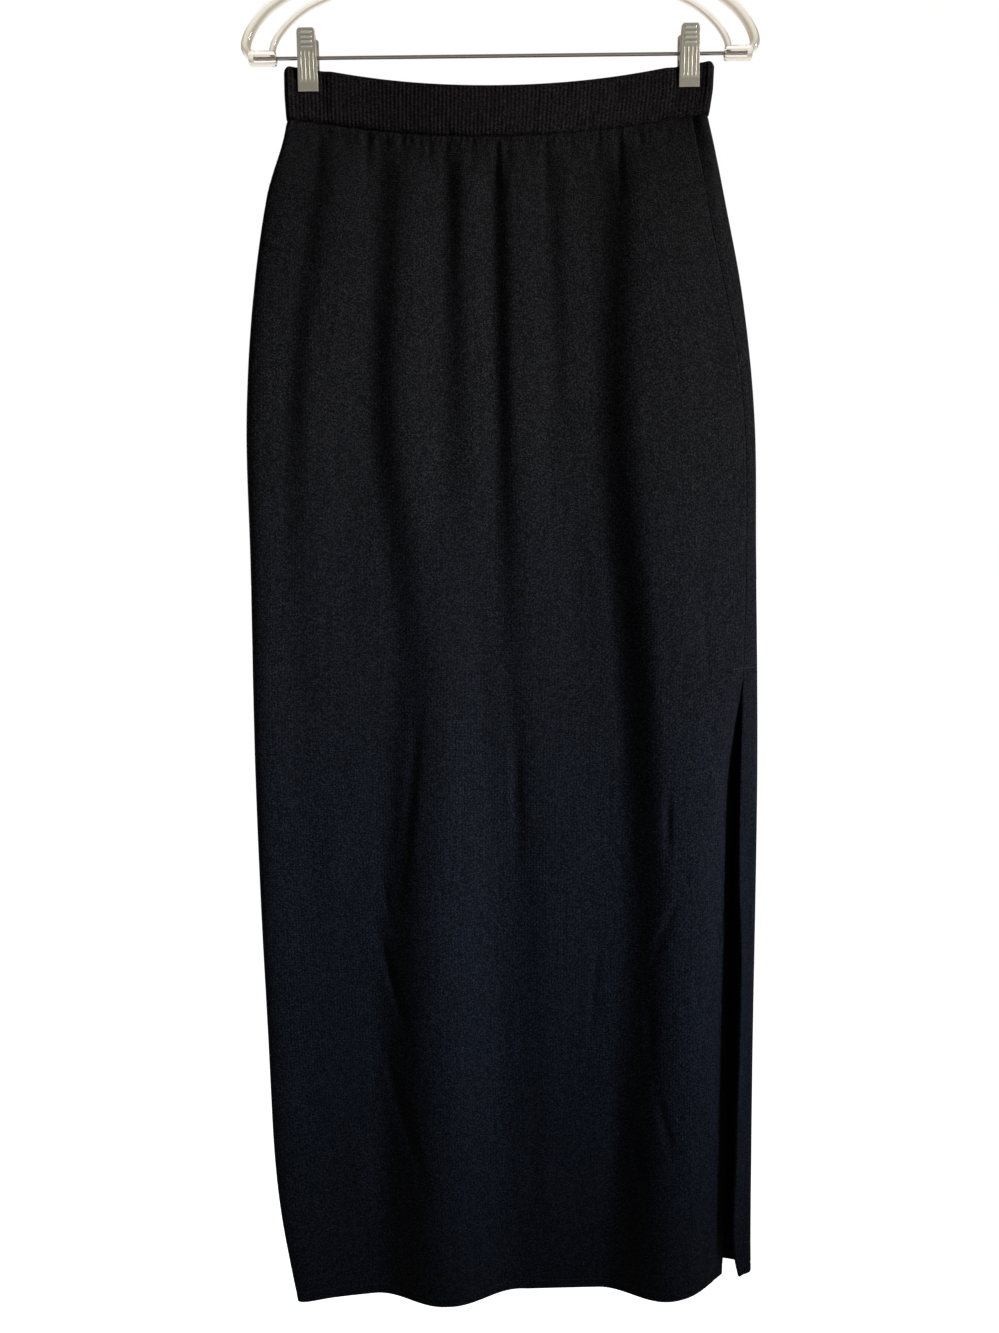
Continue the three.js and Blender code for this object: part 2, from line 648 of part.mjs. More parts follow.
const finish = {
  knit: { color: "#1b1b1e", roughness: 0.85, metalness: 0 },
  rib: { color: "#171617", roughness: 0.88, metalness: 0 },
  clear: { color: "#d9d5ca", roughness: 0.12, metalness: 0, transparent: true, opacity: 0.4 },
  rod: { color: "#55534e", roughness: 0.35, metalness: 1 },
  hook: { color: "#a9a9a4", roughness: 0.25, metalness: 1 },
  clip: { color: "#96968c", roughness: 0.38, metalness: 1 },
  spring: { color: "#7d7c76", roughness: 0.35, metalness: 1 },
};

function piece(name, geometry, finishName) {
  const mesh = new THREE.Mesh(geometry, new THREE.MeshStandardMaterial(finish[finishName]));
  mesh.name = name;
  return mesh;
}

const group = new THREE.Group();
group.name = "skirt_on_clip_hanger";

// Everything below is measured from the rod
const fromRod = new THREE.Group();
fromRod.position.z = -ROD_BELOW_SEAT;
group.add(fromRod);

for (const facing of ["front", "back"]) {
  for (const [length, drops] of Object.entries(PANEL_LENGTHS)) {
    fromRod.add(piece(`${facing}_panel_${length}`, panel(facing, drops), "knit"));
  }
}
fromRod.add(piece("waistband_front", waistband("front"), "rib"));
fromRod.add(piece("waistband_back", waistband("back"), "rib"));
fromRod.add(piece("hanger_frame", hangerFrame(), "clear"));
fromRod.add(piece("hanger_rod", barAlong("x", ROD_RADIUS, -ROD_HALF, ROD_HALF, 12), "rod"));
fromRod.add(piece("hanger_hook", hook(), "hook"));

for (const [sideName, x] of Object.entries(CLIP_X)) {
  const clip = new THREE.Group();
  clip.position.x = x;
  const back = piece(`clip_${sideName}_back`, clipHalf(CHEEK.backPlace), "clip");
  back.rotation.z = Math.PI;
  clip.add(piece(`clip_${sideName}_front`, clipHalf(CHEEK.frontPlace), "clip"));
  clip.add(back);
  clip.add(piece(`clip_${sideName}_spring`, clipSpring(), "spring"));
  fromRod.add(clip);
}

export default group;
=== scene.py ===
"""A long black knit skirt with a ribbed waistband, hung by two clips from a clear skirt hanger.

Objects are in metres, +Z up, with the front facing -Y. The tables of sizes are in millimetres: heights are
measured from the hanger's rod, and drops from the waist seam down.
"""
import math
from collections import namedtuple

import bmesh
import bpy
import numpy as np
from mathutils import Matrix, Vector


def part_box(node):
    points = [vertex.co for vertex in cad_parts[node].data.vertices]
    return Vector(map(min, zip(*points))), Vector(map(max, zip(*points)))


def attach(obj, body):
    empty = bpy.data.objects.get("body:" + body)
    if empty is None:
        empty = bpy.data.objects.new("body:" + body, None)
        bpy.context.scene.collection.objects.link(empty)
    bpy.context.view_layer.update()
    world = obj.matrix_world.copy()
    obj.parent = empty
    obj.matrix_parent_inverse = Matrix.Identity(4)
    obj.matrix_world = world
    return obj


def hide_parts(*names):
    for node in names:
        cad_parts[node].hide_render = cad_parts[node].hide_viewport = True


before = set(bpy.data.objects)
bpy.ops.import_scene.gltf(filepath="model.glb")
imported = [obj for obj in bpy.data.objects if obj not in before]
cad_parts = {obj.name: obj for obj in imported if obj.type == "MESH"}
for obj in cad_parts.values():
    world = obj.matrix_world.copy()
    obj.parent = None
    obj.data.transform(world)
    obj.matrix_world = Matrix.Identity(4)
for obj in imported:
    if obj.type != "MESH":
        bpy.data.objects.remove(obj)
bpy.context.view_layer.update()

MM = 0.001
GAP = 0.3
# Points closer together than this are one
MERGE = 1e-7
SIDES = ("left", "right")
FACINGS = ("front", "back")
ROD_Z = sum(corner.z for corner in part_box("hanger_rod")) / 2 / MM
CLIP_X = {side: sum(corner.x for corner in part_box(f"clip_{side}_spring")) / 2 / MM for side in SIDES}

# Waistband: doubled rib knit, pinched flat in the clips, bowed out and sagging between them
BAND_TOP = -8.5
BAND_HEIGHT = 36
BAND_WALL = 3.6
BAND_SAG = {"top": 20.5, "seam": 17.5, "power": 1.5}
BAND_BOW = {"out": 10, "half": 130}
BAND_FOLD_RADIUS = 6
BAND_CORNER = {"drop": 3, "reach": 6}
# Rows of points up one side of the band and over its top
BAND_STEPS = {"up": 14, "over": 10}
# Cords of the rib. valley: how narrow the grooves are; overTop: how much is left on the stretched top fold
RIB = {"count": 110, "columns": 6, "depth": 0.4, "valley": 3, "overTop": 0.35}
# How far the knit is drawn up where it is doubled over
BAND_STRETCH = 2
GRIP_OUT = BAND_WALL + GAP / 2
GRIP = {"flat": 9, "reach": 19}
BAND_ROWS = {
    "level": [0, 0.5, 1],
    "half": [160, 161.8, 162.1],
    "mid": [-2.6, -1.6, -1.1],
    "pinch": [0.3, 1, 1],
}

# Body of the skirt, from the waist seam down
SEAM = BAND_TOP - BAND_HEIGHT
BODY_LENGTH = 944
BODY_WALL = 1.6
BODY_UNDER_BAND = 1
# How far the body is sewn up into the waistband
SEWN_IN = 1.6
WAIST_BLEND = 60
# How far each panel wraps round a side fold to its seam
SEAM_WRAP = {"drop": [0, 75, 200, 330, 450, 944], "by": [14.5, 24.5, 20, 20, 25, 25]}
BAND_WRAP = 14.5
HEM_FOLD = BODY_LENGTH - 9.5
TURN_EASE = 1.5
# How far the hem has grown longer from hanging, from the left edge to the right one, evened out to nothing
# at the seam that the panels share
HEM_GROWN = {
    "across": [-1, -0.35, 0, 0.5, 1],
    "front": [1.2, 2.2, 6.5, 6.5, 5],
    "back": [0] * 5,
}
HEM_EVENED = 22
LOOP_TURN = np.linspace(0, 2 * np.pi, 1440, endpoint=False)
SECTIONS = {
    "drop": [0, 15, 58, 132, 222, 330, 510, 715, 857, 944],
    "half": [159.2, 162.6, 172.6, 186.4, 195.9, 198.2, 201.8, 200.6, 198.8, 192.3],
    "mid": [-3, -2.7, -3.8, -2.7, -1.5, -0.6, -0.2, 0.6, 3.5, 11.2],
    "front": [14, 15, 18, 21, 23, 23, 21, 18, 15, 12],
    "back": [14, 15, 18, 20, 22, 23, 24, 24, 23, 22],
    "leftY": [0, 0, 0, 0, 0, 0, 0, -3, -9, -19],
    "rightY": [0, 0, 0, 0, 0, 0, 0, 0, 1, 2],
}
SQUARENESS = {"left": 18, "right": 3.5}
LEFT_TURN = 4
RELIEF_FADE = 20

# Long folds at five levels. crest: where the ridge runs; height: how far it stands out;
# left and right: the widths of its two flanks
Fold = namedtuple("Fold", "crest height left right")
FOLD_LEVELS = [40, 220, 400, 600, 944]
FOLDS = {
    "front": [
        ([-122, -146, -154, -156, -156], [5, 4.6, 1.5, 0, 0], [24, 23, 26, 26, 26], [44, 50, 50, 50, 50]),
        ([-71, -77, -58, -62, -58], [7, 8, 6.2, 14, 22], [26, 28, 34, 47, 60], [38, 44, 40, 53, 66]),
        ([-28, -28, -33, -36, -36], [6, 4.2, 2.6, 2.4, 1.2], [16, 24, 34, 34, 34], [24, 26, 32, 34, 36]),
        ([7, 9, 16, 30, 30], [5.3, 5.7, 3, 3, 0], [16, 18, 24, 28, 28], [34, 40, 45, 45, 45]),
        ([46, 48, 50, 50, 50], [2.5, 1.5, 0, 0, 0], [14, 16, 16, 16, 16], [22, 24, 24, 24, 24]),
        ([102, 103, 118, 130, 128], [7, 12, 14.5, 15, 20], [28, 36, 37, 43, 57], [80, 104, 100, 66, 62]),
        ([-170, -196, -202, -202, -190], [1.5, 3.5, 3.5, 3.5, 3.5], [20] * 5, [36, 44, 44, 44, 40]),
    ],
    "back": [
        ([128, 138, 143, 146, 150], [4, 6, 5, 3, 2], [30, 35, 39, 40, 40], [18, 20, 22, 24, 24]),
        ([58, 49, 44, 40, 32], [6, 10, 11, 12, 17], [34, 46, 54, 60, 74], [20, 24, 27, 30, 56]),
        ([4, -3, -6, -8, -8], [4, 3, 1, 0, 0], [24, 28, 28, 28, 28], [14, 16, 17, 18, 18]),
        ([-58, -65, -74, -84, -92], [5, 9, 10, 11, 18], [20, 24, 27, 30, 60], [36, 45, 50, 52, 62]),
        ([-124, -136, -143, -150, -154], [4, 5, 4, 2, 0], [18, 20, 20, 20, 20], [30, 36, 38, 40, 40]),
    ],
}

# Gathers under the waist seam. depth: how far it sinks; reach: how far it runs down; width: half its width
Gather = namedtuple("Gather", "x depth reach width")
GATHERS = {
    "front": [
        (-138, 1.1, 70, 6), (-118, 0.6, 30, 5), (-101.5, 1.5, 60, 5), (-90, 0.8, 30, 5),
        (-74, 1.0, 44, 6), (-54, 1.2, 30, 4), (-43, 0.8, 40, 5), (-22, 0.9, 28, 5),
        (-4, 1.4, 56, 5), (4, 1.0, 40, 4), (18, 0.7, 24, 4), (32.5, 1.3, 70, 5),
        (51, 0.9, 30, 5), (70.5, 1.1, 36, 4.5), (88, 1.8, 70, 5), (104, 0.8, 30, 5),
        (124, 1.0, 50, 6),
    ],
    "back": [
        (136, 1.0, 60, 6), (116, 1.5, 58, 5), (97, 0.7, 30, 5), (83, 1.2, 44, 5),
        (64, 0.9, 32, 4), (50, 1.6, 70, 5), (33, 0.7, 26, 5), (17, 1.1, 40, 4.5),
        (4, 1.4, 58, 5), (-15, 0.8, 30, 5), (-30, 1.2, 50, 6), (-50, 1.7, 72, 5),
        (-66, 0.8, 28, 4), (-86, 1.3, 54, 5), (-108, 1.0, 40, 5), (-131, 0.9, 46, 6),
    ],
}
GATHER_START = 10
GATHER_AT_SEAM = 0.3
# Small puckers that the seam's thread draws up between the gathers
PUCKERS = {
    "half": 150, "pitch": 5.2, "stray": 1.8, "depth": (0.4, 1.2), "reach": (5, 16), "width": 2.8, "seed": 11,
}

# Creases in the hanging cloth. x and drop: its middle; run and width: half its length and width;
# rise: how far it stands out, or sinks where negative; lean: how far it moves right for each mm down
Crease = namedtuple("Crease", "x drop run width rise lean")
CREASES = {
    "front": [
        (124.5, 535, 40, 4.5, -2.2, 0.01), (6, 508, 72, 8, -1.8, 0.02), (164, 484, 42, 5, -1.3, 0.23),
        (153, 390, 36, 6, -1.0, 0.08), (67.5, 672, 52, 6, -1.6, -0.08), (112, 705, 40, 6, -0.9, 0.0),
        (-96.5, 664, 56, 6, -2.2, 0.28), (-88, 784, 76, 9, -2.2, 0.28), (-77, 502, 100, 8, -1.3, -0.1),
        (-99.5, 598, 25, 4.5, -1.2, 0.13), (87.5, 568, 24, 4, -1.3, 0.5), (97, 560, 20, 3.5, -1.0, 0.42),
        (124, 618, 36, 6, -1.7, -0.36), (124.5, 790, 50, 6, -1.9, 0.23), (103.5, 820, 34, 5, -1.3, 0.24),
        (-150, 180, 110, 14, 0.8, -0.05), (40, 160, 90, 11, -0.7, 0.03), (150, 300, 120, 12, -0.7, 0.05),
        (-8, 430, 140, 16, 0.9, 0.02), (-126, 830, 70, 14, 1.0, 0.08), (16, 820, 90, 12, -0.8, -0.03),
        (-165, 420, 90, 22, -1.0, 0.02), (-108, 330, 80, 20, 0.9, -0.04), (-100, 520, 100, 24, -1.1, 0.05),
        (-20, 560, 120, 22, 0.9, 0.02), (52, 330, 110, 24, -1.0, 0.03), (60, 520, 90, 20, 0.9, -0.03),
        (160, 160, 90, 20, -0.9, 0.06), (86, 800, 80, 16, -1.0, 0.05), (-140, 560, 70, 18, 0.8, 0.0),
        (-30, 860, 70, 20, -0.9, 0.04), (48, 700, 80, 18, -0.8, -0.02),
    ],
    "back": [
        (-118, 480, 60, 6, -1.0, -0.02), (-30, 640, 64, 7, -1.1, 0.05), (90, 650, 54, 6, -2.0, -0.27),
        (82, 790, 70, 9, -2.0, -0.25), (74, 500, 90, 6, -1.5, 0.1), (-96, 566, 24, 4, -1.2, -0.45),
        (-118, 612, 38, 6, -1.6, 0.35), (-114, 796, 48, 6, -1.8, -0.22), (140, 210, 110, 14, 0.8, 0.05),
        (-36, 190, 90, 11, -0.7, -0.03), (2, 440, 140, 16, 0.9, -0.02), (120, 820, 70, 14, 0.9, -0.08),
        (-140, 780, 80, 12, -0.8, 0.03), (166, 430, 90, 22, -1.0, -0.02), (104, 320, 84, 20, 0.9, 0.05),
        (14, 570, 120, 22, -0.9, -0.02), (-56, 340, 104, 24, -1.0, -0.04), (-62, 540, 88, 20, 0.9, 0.03),
        (-158, 170, 90, 20, -0.9, -0.06), (60, 870, 70, 20, 0.9, -0.04),
    ],
}

# Slit down the right side seam. below: under its top; the rest: how its two edges move off the seam line
SLIT_TOP = 428
SLIT = {
    "below": [0, 80, 160, 230, 400, 490, 516],
    "frontX": [0, -3.5, -2.6, -1.2, -0.7, -1.2, -2.2],
    "frontY": [0, 12, 13, 13, 12, 11, 10],
    "backX": [0, 0.5, 2, 6, 4.5, 5, 11],
    "backY": [0, 0, -1, -3, -5, -4, -1],
}
SLIT_CURL = {"front": 42, "back": 30}
SLIT_TURN = 10

# Sewing: how the cloth sinks along its seams and stitch rows, and the stitches themselves
SEAM_DIP = {"depth": 0.24, "width": 1.2}
# How far the rounded edges of the panels run into each other at a seam, so that no light shows through it
SEAM_LAP = 0.3
# Where a panel wraps round a side fold, it swells beside its seam under the waistband
STRIP_SWELL = {"out": 2.2, "at": 7, "half": 7, "full": 20, "gone": 105}
WAIST_DIP = {"depth": 1.7, "width": 1.9}
# The waist seam sinks less over a side fold, where the cloth is stretched
FOLD_DIP = {"share": 0.15, "reach": 11}
# pitch: from one pull of the thread to the next; spell: over how many of them the pulls swell and fade
WAIST_RIPPLE = {"pitch": 5.7, "by": 0.7, "spell": 3.7}
STITCH_DIP = {"depth": 0.3, "width": 0.9}
HEM_STITCH = HEM_FOLD + 0.6
SLIT_STITCH = 10.4
TACK_ABOVE_SLIT = 9.6
TACK_REACH = 11
STITCH = {"pitch": 3.4, "length": 2.5, "radius": 0.3}
STITCH_DEPTH = 0.18

# Rows and columns of a panel: close together where it is sewn and along its edges
PANEL_DROPS = np.concatenate([
    [-SEWN_IN, -SEWN_IN + 0.3, -0.6, 0, 0.9],
    np.linspace(2, 40, 24),
    np.linspace(44, 925, 148),
    np.linspace(928, 942, 12),
    [943.3, 943.8, BODY_LENGTH],
])
EDGE_PLACES = np.array([0, 0.25, 0.7, 1.4, 2.4, 3.8, 5.6, 7.6, 9.4, 10.4, 11.4, 13])
MIDDLE_COLUMNS = 226
PANEL_CUT_WIDTH = 408
# A fine gauge has a wale about every millimetre. The stitches are drawn coarser, so that they show
WALE = 2.25
COURSE = 1.4
WAVER = {"length": 0.6, "scale": 0.8, "by": 0.5}
GROOVE = {"narrow": 3.0, "depth": 0.35}
LEG_RISE = 0.45
# Tones of the yarn. fibres and loops: how many to a wale and a course; rare: how few of them are light
YARN = {"fibres": 3.0, "loops": 2.0, "rare": 3.0}
STREAK = {"length": 0.03, "scale": 0.7, "share": 0.2}
# At the waist seam: small tucks of the thread, and the groove's shadow, painted into the yarn's colour, with
# its ragged edge
SEAM_TUCKS = {"wide": 4.5, "long": 30, "gone": 18}
SEAM_SHADE = {"notch": 3, "ragged": 8, "edge": (-4.6, -3.0), "left": 0.15}

# Hanger
ROD_RADIUS = 1.3
ROD_ROUND = 0.2
SOCKET = {"inner": 168.5, "outer": 189, "radius": 5.2, "round": 1.6}
RAILS = {
    "outer": {
        "x": [0, 24, 90, 150, 175, 188, 191, 185],
        "z": [107, 103, 75.5, 49, 34, 18, 7, 0.5],
        "half": 3.7, "deep": 4,
    },
    "inner": {
        "x": [0, 24, 90, 130, 146, 161, 169.5, 172.5],
        "z": [90, 86, 58, 42, 34.5, 22.5, 11, 1],
        "half": 2.4, "deep": 3,
    },
}
# How many points the swept lines have, and into how many steps a rounded edge is cut
SWEEP = {"rail": 260, "hook": 150, "coil": 220}
EDGE_STEPS = {"neck": 3, "rim": 4}
NECK = {"halfFoot": 22, "halfTop": 17.6, "bottom": 86, "top": 107, "depth": 7, "round": 1.2}
BOSS = {"radius": 6, "bottom": 100, "top": 118, "round": 1}
HOOK = {"wire": 1.8, "radius": 22, "foot": 106, "shoulder": (2.6, 128), "from": -25, "to": 205, "every": 5}
HOOK_CENTRE = -ROD_Z - HOOK["radius"] + HOOK["wire"]

# Clips: pressed plates with raised ribs and grip bars, and cheeks that the rod passes through
CLIP = {
    "top": 17.5, "bend": -19.5, "foot": -25.5, "topWidth": 13.4, "footWidth": 15.4,
    "sheet": 0.9, "corner": 2.5,
}
CLIP_TOP_STANDS_OFF = 8.5
CLIP_RIBS = {"count": 4, "pitch": 3, "half": 0.55, "raised": 0.36, "top": 2.5, "bottom": -18, "ease": 1}
CLIP_BARS = {"count": 4, "pitch": 3.2, "wide": 4.3, "half": 0.9, "raised": 0.9, "lowest": 5.2, "ease": 0.5}
# Rows and columns of a plate. rim: the ones along its edges; start: the next ones, which begin the rest
CLIP_ROWS = {"count": 124, "rim": [0, 0.1, 0.25], "start": 0.5}
CLIP_COLUMNS = {"count": 54, "rim": [0.96, 0.985, 1], "start": 0.93}
CHEEK = {"radius": 4.4, "above": 16.5, "below": 18, "front": 6.45, "back": 5.25, "sides": 32}
SPRING = {"outer": 3.1, "half": 4.1, "wire": 0.45, "turns": 8, "arm": 6.5}


def lerp(start, end, share):
    return start + (end - start) * share


def smooth_step(value, low, high):
    share = np.clip((value - low) / (high - low), 0, 1)
    return share * share * (3 - 2 * share)


def smooth_column(places, values):
    """Reads a column of a table smoothly between its rows, and level beyond them."""
    places, values = np.array(places, float), np.array(values, float)
    slopes = np.diff(values) / np.diff(places)
    tangents = np.concatenate([slopes[:1], (slopes[1:] + slopes[:-1]) / 2, slopes[-1:]])

    def read(place):
        place = np.clip(place, places[0], places[-1])
        row = np.clip(np.searchsorted(places, place, side="right") - 1, 0, len(slopes) - 1)
        step = places[row + 1] - places[row]
        share = (place - places[row]) / step
        rise = values[row + 1] - values[row]
        start, end = tangents[row] * step, tangents[row + 1] * step
        curve = 3 * rise - 2 * start - end + share * (start + end - 2 * rise)
        return values[row] + share * (start + share * curve)

    return read


def smooth_table(table, along):
    return {name: smooth_column(table[along], column) for name, column in table.items()}


section = smooth_table(SECTIONS, "drop")
slit = smooth_table(SLIT, "below")
seam_wrap = smooth_column(SEAM_WRAP["drop"], SEAM_WRAP["by"])
folds = {facing: [Fold(*(smooth_column(FOLD_LEVELS, column) for column in fold)) for fold in rows]
         for facing, rows in FOLDS.items()}


def seam_puckers(seed):
    """Puckers all along one side's waist seam, none quite like the next."""
    draw = np.random.default_rng(seed)
    places = np.arange(-PUCKERS["half"], PUCKERS["half"], PUCKERS["pitch"])
    return [
        Gather(x + draw.uniform(-PUCKERS["stray"], PUCKERS["stray"]), draw.uniform(*PUCKERS["depth"]),
               draw.uniform(*PUCKERS["reach"]), PUCKERS["width"])
        for x in places
    ]


gathers = {facing: [Gather(*row) for row in rows] + seam_puckers(PUCKERS["seed"] + len(facing))
           for facing, rows in GATHERS.items()}
creases = {facing: [Crease(*row) for row in rows] for facing, rows in CREASES.items()}


def bump(distance, reach):
    """1 at the middle, falling softly to 0 at its edge."""
    return np.cos(np.pi / 2 * np.minimum(np.abs(distance) / reach, 1)) ** 2


def trough(distance, size):
    """How far cloth sinks beside a line of sewing."""
    return size["depth"] * np.exp(-(distance / size["width"]) ** 2)


def sag(across, depth):
    """How much lower the waist hangs between the clips. across: -1 at the left fold, 1 at the right."""
    return depth * (1 - across ** 2) ** BAND_SAG["power"]


def waist_depth(x, half, mid, radius, pinch):
    """How far the waist stands off the plane of its side folds."""
    from_fold = half - np.abs(x - mid)
    turn = np.sqrt(np.maximum(radius ** 2 - np.maximum(radius - from_fold, 0) ** 2, 0))
    bow = BAND_BOW["out"] * np.maximum(1 - (x / BAND_BOW["half"]) ** 2, 0) ** 2
    from_clip = np.abs(x - np.where(x < 0, CLIP_X["left"], CLIP_X["right"]))
    held = 1 - smooth_step(from_clip, GRIP["flat"], GRIP["reach"])
    return turn + bow - held * pinch * (BAND_FOLD_RADIUS - GRIP_OUT)


def cloth_relief(facing, x, drop):
    """How far folds, gathers and creases stand out at one height."""
    relief = np.zeros_like(x)
    for fold in folds[facing]:
        off = x - fold.crest(drop)
        reach = np.where(off < 0, fold.left(drop), fold.right(drop))
        relief += np.maximum(fold.height(drop), 0) * bump(off, reach) * smooth_step(drop, 0, FOLD_LEVELS[0])
    for gather in gathers[facing]:
        full = min(GATHER_START, gather.reach / 2)
        start = lerp(GATHER_AT_SEAM, 1, smooth_step(drop, 0, full))
        run = start * (1 - smooth_step(drop, full, gather.reach))
        relief -= gather.depth * run * bump(x - gather.x, gather.width)
    for crease in creases[facing]:
        off = x - crease.x - crease.lean * (drop - crease.drop)
        relief += crease.rise * bump(off, crease.width) * bump(drop - crease.drop, crease.run)
    return relief


def body_line(drop):
    """The outer line of the hanging tube at one height, from the left fold round the front, then the back."""
    across = -np.cos(LOOP_TURN)
    front = LOOP_TURN < np.pi
    half, mid = section["half"](drop), section["mid"](drop)
    x = mid + half * across
    power = np.where(across < 0, SQUARENESS["left"], SQUARENESS["right"])
    flat = np.maximum(1 - np.abs(across) ** power, 0) ** (1 / power)
    waist = waist_depth(x, half, mid, BAND_FOLD_RADIUS - BODY_UNDER_BAND, BAND_ROWS["pinch"][0])
    hip = np.where(front, section["front"](drop), section["back"](drop)) * flat
    relief = np.where(front, cloth_relief("front", x, drop), cloth_relief("back", x, drop))
    depth = lerp(waist, hip, smooth_step(drop, 0, WAIST_BLEND)) + relief * (1 - across ** RELIEF_FADE)
    fold = lerp(section["rightY"](drop), section["leftY"](drop), ((1 - across) / 2) ** LEFT_TURN)
    return np.stack([x, np.where(front, fold - depth, fold + depth)], axis=-1)


def band_line(half, mid, pinch):
    """The outer line of the waistband at one height."""
    x = mid - half * np.cos(LOOP_TURN)
    depth = waist_depth(x, half, mid, BAND_FOLD_RADIUS, pinch)
    return np.stack([x, np.where(LOOP_TURN < np.pi, -depth, depth)], axis=-1)


def travel(*columns):
    """How far along a line each of its points lies."""
    return np.concatenate([[0], np.cumsum(np.hypot(*(np.diff(column) for column in columns)))])


def stretch(line, facing, wrap, apart=GAP):
    """The front or back stretch of a closed line: its length, and a reader of points along it."""
    closed = np.vstack([line, line[:1]])
    lengths = travel(*closed.T)
    whole, front = lengths[-1], lengths[len(line) // 2]
    start = (0 if facing == "front" else front) - wrap + apart / 2
    length = (front if facing == "front" else whole - front) - apart

    def at(place):
        target = np.mod(start + place, whole)
        return np.stack([np.interp(target, lengths, closed[:, axis]) for axis in (0, 1)], axis=-1)

    return length, at


def inside(at, place, depth):
    """Points some depth inside a line, square to the way it runs."""
    along = at(place + 1) - at(place - 1)
    along /= np.linalg.norm(along, axis=-1, keepdims=True)
    return at(place) + np.stack([-along[:, 1], along[:, 0]], axis=-1) * np.reshape(depth, (-1, 1))


def panel_at(facing, drop):
    """One height of a panel: its length from seam to seam, and a reader of places along it, in metres."""
    length, on_line = stretch(body_line(drop), facing, seam_wrap(drop), -SEAM_LAP)
    below = drop - SLIT_TOP
    move = np.array([slit[f"{facing}X"](below), slit[f"{facing}Y"](below)])

    def curled(place):
        to_slit = length - place if facing == "front" else place
        return on_line(place) + np.maximum(1 - to_slit / SLIT_CURL[facing], 0)[:, None] ** 2 * move

    def at(place, depth):
        x, y = inside(curled, place, depth).T
        across = np.clip((x - section["mid"](drop)) / section["half"](drop), -1, 1)
        lower = sag(across, BAND_SAG["seam"]) * (1 - drop / BODY_LENGTH)
        to_seam = place if facing == "front" else length - place
        grown = smooth_step(drop, SLIT_TOP, BODY_LENGTH) * smooth_step(to_seam, 0, HEM_EVENED)
        lower += np.interp(across, HEM_GROWN["across"], HEM_GROWN[facing]) * grown
        return np.stack([x, y, ROD_Z + SEAM - GAP - drop - lower], axis=-1) * MM

    return length, at


def waist_ripple(place):
    """How the waist seam wavers where its stitches pull."""
    turns = 2 * np.pi * place / WAIST_RIPPLE["pitch"]
    return WAIST_RIPPLE["by"] * np.sin(turns) * np.sin(turns / WAIST_RIPPLE["spell"] + 1)


def waist_dip_share(place, fold):
    """How much of the waist seam's dip is left near the side fold."""
    return lerp(FOLD_DIP["share"], 1, smooth_step(np.abs(place - fold), 0, FOLD_DIP["reach"]))


def panel_depths(facing, drop, place, length):
    """How deep a panel's two faces lie at one height, sunk along its sewing and rounded at its edges."""
    to_slit = length - place if facing == "front" else place
    to_seam = length - to_slit
    opened = drop > SLIT_TOP
    turned = 1 - smooth_step(to_slit, SLIT_TURN, SLIT_TURN + TURN_EASE) if opened else np.zeros_like(place)
    turned = np.maximum(turned, smooth_step(drop, HEM_FOLD - TURN_EASE, HEM_FOLD))
    wall = BODY_WALL * (1 + turned)
    sunk = trough(to_seam, SEAM_DIP) + trough(drop - HEM_STITCH, STITCH_DIP)
    under_band = np.maximum(drop - waist_ripple(place), 0)
    sunk += trough(under_band, WAIST_DIP) * waist_dip_share(place, seam_wrap(drop))
    sunk += trough(to_slit - SLIT_STITCH, STITCH_DIP) if opened else trough(to_slit, SEAM_DIP)
    swell = bump(place - STRIP_SWELL["at"], STRIP_SWELL["half"]) * smooth_step(drop, 0, WAIST_DIP["width"])
    sunk -= STRIP_SWELL["out"] * swell * (1 - smooth_step(drop, STRIP_SWELL["full"], STRIP_SWELL["gone"]))
    edge = np.minimum(np.minimum(to_slit, to_seam), min(drop + SEWN_IN, BODY_LENGTH - drop))
    rounded = np.sqrt(1 - (1 - np.minimum(edge / (wall / 2), 1)) ** 2)
    return sunk + wall / 2 * (1 - rounded), sunk + wall / 2 * (1 + rounded)


def panel_faces(facing):
    """Outer and inner points of a panel, row by row, and where each lies in the knit."""
    outer, inner, knit = [], [], []
    for drop in PANEL_DROPS:
        length, at = panel_at(facing, drop)
        middle = np.linspace(EDGE_PLACES[-1], length - EDGE_PLACES[-1], MIDDLE_COLUMNS)[1:-1]
        place = np.concatenate([EDGE_PLACES, middle, length - EDGE_PLACES[::-1]])
        depths = panel_depths(facing, drop, place, length)
        outer.append(at(place, depths[0]))
        inner.append(at(place, depths[1]))
        knit.append(np.stack([place / length * PANEL_CUT_WIDTH, np.full_like(place, drop)], axis=-1) * MM)
    return np.array(outer), np.array(inner), np.array(knit)


KNIT_MAP = "knit"


def laid_grid(bm, points, knit=None):
    """A grid whose rows and columns are moved to the points given."""
    rows, columns = points.shape[:2]
    verts = bmesh.ops.create_grid(bm, x_segments=columns - 1, y_segments=rows - 1, size=0.5)["verts"]
    cells = {}
    for vert in verts:
        cells[vert] = round((0.5 - vert.co.y) * (rows - 1)), round((vert.co.x + 0.5) * (columns - 1))
    faces = list({face for vert in verts for face in vert.link_faces})
    for vert, cell in cells.items():
        vert.co = points[cell]
    if knit is not None:
        layer = bm.loops.layers.uv.verify()
        for face in faces:
            for corner in face.loops:
                corner[layer].uv = knit[cells[corner.vert]]
    return faces


def shell_between(outer, inner, knit=None):
    """A closed shell between two sheets that meet along their edges."""
    bm = bmesh.new()
    if knit is not None:
        bm.loops.layers.uv.new(KNIT_MAP)
    laid_grid(bm, outer, knit)
    bmesh.ops.reverse_faces(bm, faces=laid_grid(bm, inner, knit))
    bmesh.ops.remove_doubles(bm, verts=bm.verts, dist=MERGE)
    return bm


def mesh_from(bm, name="shape"):
    mesh = bpy.data.meshes.new(name)
    bm.to_mesh(mesh)
    bm.free()
    return mesh


